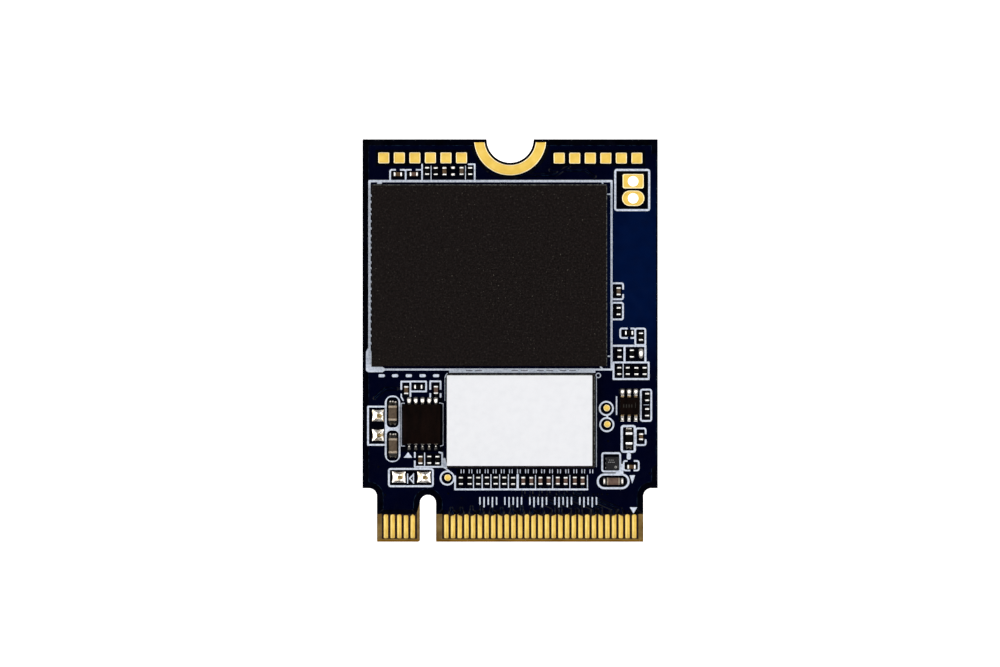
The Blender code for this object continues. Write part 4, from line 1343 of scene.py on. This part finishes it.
BULK_CAP = 0.19
NARROW_CAP = 0.1
SMALL_CAP = 0.145
SINGLES = {
    "input_capacitor_upper": ("capacitor", "Y", BULK_CAP, BROWN_CERAMIC),
    "input_capacitor_lower": ("capacitor", "Y", BULK_CAP, BROWN_CERAMIC),
    "output_capacitor": ("capacitor", "X", NARROW_CAP, ROSE_CERAMIC),
    "ferrite_bead": ("bead", "Y", BULK_CAP, FERRITE),
    "capacitor_top_1": ("capacitor", "X", SMALL_CAP, AMBER_CERAMIC),
    "capacitor_top_2": ("capacitor", "X", SMALL_CAP, ROSE_CERAMIC),
    "capacitor_right_1": ("capacitor", "Y", SMALL_CAP, BROWN_CERAMIC),
    "resistor_right_2": ("resistor", "Y", SMALL_CAP, GLAZE),
    "resistor_right_3": ("resistor", "X", SMALL_CAP, GLAZE),
    "resistor_right_4": ("resistor", "Y", SMALL_CAP, GLAZE),
    "resistor_right_5": ("resistor", "Y", SMALL_CAP, GLAZE),
    "resistor_right_6": ("resistor", "Y", SMALL_CAP, GLAZE),
    "resistor_side_upper": ("resistor", "Y", SMALL_CAP, GLAZE),
    "resistor_side_lower": ("resistor", "Y", SMALL_CAP, GLAZE),
    "capacitor_side": ("capacitor", "Y", SMALL_CAP, AMBER_CERAMIC),
    "capacitor_corner": ("capacitor", "X", SMALL_CAP, AMBER_CERAMIC),
    "capacitor_left_1": ("capacitor", "Y", SMALL_CAP, AMBER_CERAMIC),
    "resistor_left_2": ("resistor", "X", SMALL_CAP, GLAZE),
    "capacitor_left_3": ("capacitor", "Y", SMALL_CAP, ROSE_CERAMIC),
    "capacitor_left_4": ("capacitor", "Y", SMALL_CAP, AMBER_CERAMIC),
    "resistor_left_5": ("resistor", "Y", SMALL_CAP, GLAZE),
    "resistor_left_6": ("resistor", "Y", SMALL_CAP, GLAZE),
}
# How far a component sits off its CAD node along X and Y, and how much shorter it is.
OFFSETS = {
    "input_capacitor_upper": (0.035, 0.03, 0.0),
    "input_capacitor_lower": (0.035, 0.03, 0.0),
    "output_capacitor": (-0.03, 0.06, 0.06),
    "ferrite_bead": (-0.035, 0.05, 0.08),
    "capacitor_side": (-0.05, 0.055, 0.1),
}


def make_singles():
    for index, (node, (kind, runs_along, cap, body)) in enumerate(SINGLES.items()):
        low, high = box_mm(node)
        middle = centre_mm(node)
        width, length, height = high - low
        if runs_along == "X":
            width, length = length, width
        shift_x, shift_y, shorter = OFFSETS.get(node, (0, 0, 0))
        x, y, size = middle.x + shift_x, middle.y + shift_y, (width, length - shorter, height)
        shape = component(kind, x, y, runs_along, size, cap, index + 1, low.z)
        # Larger capacitors get the dark brown tin: a painted reflection.
        tin = TIN_PAINTED_REFLECTION if cap != SMALL_CAP and kind == "capacitor" else CAP_TIN
        finishes = [body, tin, SOLDER_SATIN, ALUMINA, SOLDER_SHADED]
        make_piece(node + "_body", shape, finishes, [node], 50, True)


# The rows of small components, a letter to each. A dash is an empty place.
ROWS = {
    "component_row_top": "RRA-BR",
    "resistor_row_right": "RRRR",
    "resistor_row_lower": "RRRRRRR",
    "capacitor_row_lower": "CCCCCCCC",
}
ROW_PARTS = {
    "R": ("resistor", GLAZE, (0.32, 0.6, 0.24)),
    "A": ("capacitor", AMBER_CERAMIC, (0.32, 0.62, 0.32)),
    "B": ("capacitor", BROWN_CERAMIC, (0.32, 0.62, 0.32)),
    "C": ("capacitor", ROSE_CERAMIC, (0.3, 0.6, 0.32)),
}


def row_places(node, letters):
    """The x of each component in a row. The coupling capacitors stand in pairs."""
    low, high = box_mm(node)
    first, last, count = low.x + 0.16, high.x - 0.16, len(letters)
    if "C" not in letters:
        return [first + (last - first) * i / (count - 1) for i in range(count)]
    gauge = last - first - PAIR_PITCH * (count // 2 - 1)
    return [first + PAIR_PITCH * (i // 2) + gauge * (i % 2) for i in range(count)]


def make_rows():
    """The rows of small components. Each component is a piece of its own."""
    for row, (node, letters) in enumerate(ROWS.items()):
        y = centre_mm(node).y + (0.04 if "lower" in node else 0.0)
        for i, x in enumerate(row_places(node, letters)):
            seed, name = 40 + 20 * row + i, f"{node}_{i + 1}"
            if letters[i] == "-":
                shape = bmesh.new()
                for side in (-1, 1):
                    outline = rounded(x, y + side * 0.25, 0.33, 0.22, 0.08)
                    bead(shape, outline, FLOOR, 0.08, waves=0.03, seed=seed + side, crown=6)
                make_solder(name, shape, [SOLDER_SATIN], node)
                continue
            kind, body, size = ROW_PARTS[letters[i]]
            shape = component(kind, x, y, "Y", size, SMALL_CAP, seed, COMPONENT_BASE)
            finishes = [body, CAP_TIN, SOLDER, ALUMINA, SOLDER_SHADED]
            make_piece(name, shape, finishes, [node], 50, True)


# --- Packages ----------------------------------------------------------------------------------


def moved_box(node, low_shift, high_shift):
    """The corners of a CAD node, each moved a little."""
    low, high = box_mm(node)
    return low + Vector(low_shift), high + Vector(high_shift)


def ball(shape, x, y, low, high, radius):
    """A solder ball, flattened where it meets the card and the package."""
    flattened = 60  # degrees from its equator
    rings = []
    for latitude in (-flattened, -35, 0, 35, flattened):
        angle = math.radians(latitude)
        z = (low + high) / 2 + (high - low) / 2 * math.sin(angle) / math.sin(math.radians(flattened))
        rings.append(at_level(circle(x, y, radius * math.cos(angle), 12), z))
    return loft(shape, rings)


def make_ball_grid_package(name, die, pitch, radius, columns, rows, ranks):
    """A package on its balls: the balls of its outer ranks, its substrate and its moulding."""
    node = f"{name}_substrate"
    base_low, base_high = box_mm(node)
    mould_low, mould_high = box_mm(f"{name}_moulding")
    middle = centre_mm(node)
    width, length = base_high.x - base_low.x, base_high.y - base_low.y
    underside = mould_low.z - 0.205

    def in_outer_ranks(i, j):
        return not (ranks <= i < columns - ranks and ranks <= j < rows - ranks)

    shape = bmesh.new()
    for x, y in package_grid(node, pitch, columns, rows, in_outer_ranks):
        ball(shape, x, y, base_low.z, underside + 0.004, radius)
    make_piece(f"{name}_balls", shape, [SOLDER], (), 60)
    box = (middle.x, middle.y, width - 0.01, length - 0.01, underside, mould_low.z - 0.002)
    shape = slab(bmesh.new(), *box, 0.02, 0.004, 0, 0.006)
    make_piece(f"{name}_base", shape, [SUBSTRATE], [node], 40)

    # The moulding, from the top of the pocket that holds the die, out and up to its own top.
    die_low, die_high = box_mm(die)
    pocket = rounded(middle.x, middle.y, die_high.x - die_low.x + 0.02, die_high.y - die_low.y + 0.02, 0.01)
    rings = [at_level(pocket, z) for z in (die_high.z + 0.01, mould_low.z)]
    wall_top, chamfer_top = mould_high.z - 0.025, mould_high.z - 0.0175
    levels = ((mould_low.z, 0), (wall_top, 0), (chamfer_top, 0.07), (mould_high.z, 0.09))
    rings += tier(middle.x, middle.y, width, length, 0.03, 0.004, levels)
    shape = loft(bmesh.new(), rings)
    # The chamfer on the +X and +Y sides takes the paler compound: a painted highlight.
    for face in shape.faces:
        place = face.calc_center_median()
        far = place.x > middle.x + width * 0.49 or place.y > middle.y + length * 0.49
        if far and wall_top < place.z < chamfer_top:
            face.material_index = 1
    finishes = [MOULDING, MOULDING_EDGE_HIGHLIGHT]
    make_piece(f"{name}_compound", shape, finishes, [f"{name}_moulding"], 30, True)


def make_label():
    low, high = moved_box("controller_label", (-0.105, 0.045, 0), (-0.05, -0.045, 0))
    middle = (low + high) / 2
    width, length = high.x - low.x, high.y - low.y
    shape = slab(bmesh.new(), middle.x, middle.y, width, length, low.z, high.z, 0.05, 0.015)
    make_piece("label", shape, [PAPER], ["controller_label"], 40)


def chip_body(low, high, lean, edge):
    """A moulded body whose sides lean in above and below its parting line."""
    middle = (low + high) / 2
    width, length = high.x - low.x, high.y - low.y
    parting = low.z + (high.z - low.z) * 0.42
    levels = [(low.z, lean * 0.7), (parting, 0), (high.z - edge, lean)]
    levels += [(high.z - edge * 0.3, lean + edge * 0.3), (high.z, lean + edge)]
    return loft(bmesh.new(), tier(middle.x, middle.y, width, length, 0.05, 0.05, levels))


def make_chip(name, shape, finishes, node):
    make_piece(name, shape, finishes, [node], 35)


def make_chip_marks(name, node, bars, finish):
    """Plain laser-marked bars on top of a chip. Each is (x, y, width, length) from its middle."""
    middle, level = centre_mm(node), box_mm(node)[1].z
    outlines = [("mark", rounded(middle.x + x, middle.y + y, w, l, 0.012)) for x, y, w, l in bars]
    shape = plate(outlines, level - 0.004, lambda labels: (level + 0.003, 0))
    make_piece(name, shape, [finish])


def lead_places(node, count, width, shift):
    """The x of each lead in a row, a little off the CAD node that holds the row."""
    low, high = box_mm(node)
    pitch = (high.x - low.x - width) / (count - 1)
    return [low.x + width / 2 + shift + pitch * i for i in range(count)]


def make_power_chip():
    """A flat package. Solder covers its upper leads, and its lower leads carry a lump each."""
    low, high = box_mm("power_chip_body")
    shape = chip_body(*moved_box("power_chip_body", (0.09, 0.06, 0), (-0.14, 0.06, 0)), 0.015, 0.02)
    make_chip("power_chip", shape, [CHIP_MOULDING], "power_chip_body")
    for edge, wall, inward in (("upper", high.y, -1), ("lower", low.y, 1)):
        node = f"power_chip_leads_{edge}"
        comb_low, comb_high = box_mm(node)
        shape = bmesh.new()
        for i, x in enumerate(lead_places(node, 5, 0.26, 0.03)):
            slab(shape, x, wall + inward * 0.15, 0.24, 0.3, comb_low.z, comb_high.z, 0.02, 0.01)
            if edge == "upper":
                cover = drop_outline(x, wall - 0.02, comb_high.y + 0.1, 0.24, 0.4)
                bead(shape, cover, FLOOR, 0.13, 1, crown=7)
            else:
                film = drop_outline(x, wall - 0.01, comb_low.y, 0.2, 0.28)
                bead(shape, film, FLOOR, 0.07, 0, (0, 0.08), 0.05, i)
                lump = rounded(x, wall - 0.12, 0.14, 0.14, 0.05)
                bead(shape, lump, FLOOR, 0.11, 1, crown=6)
        # The lower leads' solder film is the darkened solder: painted shade.
        tin = LEAD_METAL if edge == "upper" else SOLDER_SHADED
        make_solder(node + "_soldered", shape, [tin, SOLDER_SATIN], node)


def bent_lead(shape, x, wall, outward, reach, width, foot, shoulder):
    """A gull-wing lead: out of the body at the shoulder, down, and flat on its land.

    It is bare metal near the body and tinned from there on.
    """
    thick = 0.09
    route = [
        (-0.1, shoulder, 0),
        (reach * 0.2, shoulder, 0),
        (reach * 0.36, shoulder - 0.04, -35),
        (reach * 0.5, foot + thick + 0.05, -60),
        (reach * 0.66, foot + thick / 2 + 0.01, -20),
        (reach * 0.98, foot + thick / 2, 0),
    ]
    rings = []
    for along, z, tilt in route:
        lean = math.radians(tilt)
        out, up = -math.sin(lean) * thick / 2, math.cos(lean) * thick / 2
        corners = rectangle(-width / 2, -1, width / 2, 1)
        rings.append([(x + a, wall + outward * (along + b * out), z + b * up) for a, b in corners])
    loft(shape, rings[:2], 0, close_end=False)
    loft(shape, rings[1:], 1, close_start=False)
    bmesh.ops.remove_doubles(shape, verts=shape.verts, dist=1e-5)


def make_logic_chip():
    low, high = moved_box("logic_chip_body", (0, 0, 0), (0, 0.11, 0))
    make_chip("logic_chip", chip_body(low, high, 0.05, 0.03), [CHIP_MOULDING], "logic_chip_body")
    bars = [(-0.45 + 0.2 * i, 0.06, 0.07, 0.24) for i in range(4)] + [(0.42, 0.12, 0.04, 0.4)]
    make_chip_marks("logic_code_bars", "logic_chip_body", bars, LOGIC_MARK)
    width = 0.22
    # The solder on each edge's leads: the share of a lead's reach where it starts, how far it ends
    # along Y from the lead's tip, and its widths there, as shares of the lead's.
    solder_on = {"upper": (0.27, 0.09, 1.5, 1.75), "lower": (0.22, 0.02, 1.2, 1.2)}
    for edge, wall, outward in (("upper", high.y, 1), ("lower", low.y, -1)):
        node = f"logic_chip_leads_{edge}"
        comb_low, comb_high = box_mm(node)
        tip = comb_high.y if edge == "upper" else comb_low.y
        reach = abs(tip - wall)
        start, past, near, far = solder_on[edge]
        ends = (wall + outward * reach * start, tip + past)
        shape = bmesh.new()
        for x in lead_places(node, 3, width, -0.04):
            bent_lead(shape, x, wall, outward, reach, width, comb_low.z, low.z + 0.22)
            outline = drop_outline(x, *ends, width * near, width * far, corner=0.5)
            bead(shape, outline, FLOOR, 0.25, 1, crown=7)
        make_solder(node + "_soldered", shape, [LEAD_METAL, SOLDER_SATIN], node)


def make_sensor():
    """A square chip with three contacts under each side, marked with bars and a low ring."""
    low, high = box_mm("temperature_sensor")
    middle = (low + high) / 2
    shape = chip_body(*moved_box("temperature_sensor", (0.09, 0.07, 0.02), (-0.07, -0.08, 0)), 0.03, 0.03)
    for x in (low.x + 0.19, high.x - 0.19):
        for i in range(3):
            slab(shape, x, middle.y + (i - 1) * 0.35, 0.22, 0.16, low.z, low.z + 0.1, 0.02, 0.01, 1)
    make_chip("sensor", shape, [SENSOR_MOULDING, CAP_TIN], "temperature_sensor")
    profile = ((0.09, -0.002), (0.078, 0.004), (0.06, 0.001), (0.04, -0.002))
    rings = [at_level(circle(middle.x + 0.26, middle.y - 0.28, r, 24), high.z + rise) for r, rise in profile]
    shape = loft(bmesh.new(), rings, 0, False, False)
    make_piece("sensor_mark", shape, [ALUMINA], (), 60, True)
    bars = [(-0.2 + 0.13 * i, 0.24, 0.07, 0.06) for i in range(3)]
    bars += [(-0.26 + 0.13 * i, 0.08, 0.08, 0.06) for i in range(4)]
    make_chip_marks("sensor_code_bars", "temperature_sensor", bars, SENSOR_MARK)


# --- Stage, light and camera -------------------------------------------------------------------


def make_stage():
    """A plain table. It glows by itself, which keeps it white where the object would shade it."""
    shape = bmesh.new()
    bmesh.ops.create_grid(shape, x_segments=4, y_segments=4, size=900)
    bmesh.ops.translate(shape, vec=(0, 0, -0.05), verts=shape.verts)
    finish = Finish("table", (0.9, 0.9, 0.9), 0.8, specular=0.1)
    finish.feed(finish.shader.inputs["Emission Color"], (1, 1, 1))
    finish.feed(finish.shader.inputs["Emission Strength"], 1.0)
    make_object("table", shape, [finish.material])


def make_lamps():
    """Four large soft lamps round the object, the two on the +Y side stronger."""
    distance, height = 0.235, 0.5
    for index, (turn, power) in enumerate(((25, 0.92), (155, 0.92), (205, 0.72), (335, 0.72))):
        angle = math.radians(turn)
        lamp = bpy.data.lights.new(f"lamp_{index + 1}", "AREA")
        lamp.shape = "SQUARE"
        lamp.size = 0.34
        lamp.energy = power
        holder = bpy.data.objects.new(lamp.name, lamp)
        holder.location = (distance * math.cos(angle), distance * math.sin(angle), height)
        holder.rotation_euler = (-holder.location).to_track_quat("-Z", "Y").to_euler()
        bpy.context.scene.collection.objects.link(holder)


def make_sky():
    """A sky that is dark overhead and paler lower down."""
    world = bpy.data.worlds.new("studio")
    world.use_nodes = True
    tree = world.node_tree
    background = tree.nodes["Background"]
    place = tree.nodes.new("ShaderNodeTexCoord")
    split = tree.nodes.new("ShaderNodeSeparateXYZ")
    ramp = tree.nodes.new("ShaderNodeValToRGB")
    stops = ((0.45, (0.3, 0.3, 0.31, 1)), (0.92, (0.02, 0.02, 0.022, 1)))
    for element, (position, colour) in zip(ramp.color_ramp.elements, stops):
        element.position = position
        element.color = colour
    tree.links.new(place.outputs["Generated"], split.inputs["Vector"])
    tree.links.new(split.outputs["Z"], ramp.inputs["Fac"])
    tree.links.new(ramp.outputs["Color"], background.inputs["Color"])
    background.inputs["Strength"].default_value = 0.8
    bpy.context.scene.world = world


def make_camera():
    """Straight above the card, far enough away to see its sides hardly at all."""
    aim_x, aim_y, view_width = -0.754, 0.524, 74.5
    camera = bpy.data.cameras.new("camera")
    camera.lens = 200.0
    camera.sensor_width = 36.0
    camera.clip_start = 0.01
    camera.clip_end = 10
    holder = bpy.data.objects.new("camera", camera)
    height = FACE + view_width * camera.lens / camera.sensor_width
    holder.location = (aim_x * MM, aim_y * MM, height * MM)
    bpy.context.scene.collection.objects.link(holder)
    bpy.context.scene.camera = holder
    bpy.context.scene.view_settings.view_transform = "Standard"


make_camera()
make_lamps()
make_sky()
make_stage()
print_marks()
make_laminate()
make_masks()
make_contacts()
make_rings()
make_test_pads()
make_headers()
make_bare_lands()
make_singles()
make_rows()
make_ball_grid_package("memory", "memory_die_stack", 1.0, 0.22, 15, 12, 3)
make_ball_grid_package("controller", "controller_die", 0.6, 0.17, 17, 11, 2)
make_label()
make_power_chip()
make_logic_chip()
make_sensor()
# Three CAD nodes are shown as they are. They lie out of sight.
shown = {"memory_die_stack": SILICON, "controller_die": SILICON, "power_chip_heat_pad": SOLDER}
for node_name, surface in shown.items():
    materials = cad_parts[node_name].data.materials
    materials.clear()
    materials.append(surface)

bpy.context.view_layer.update()
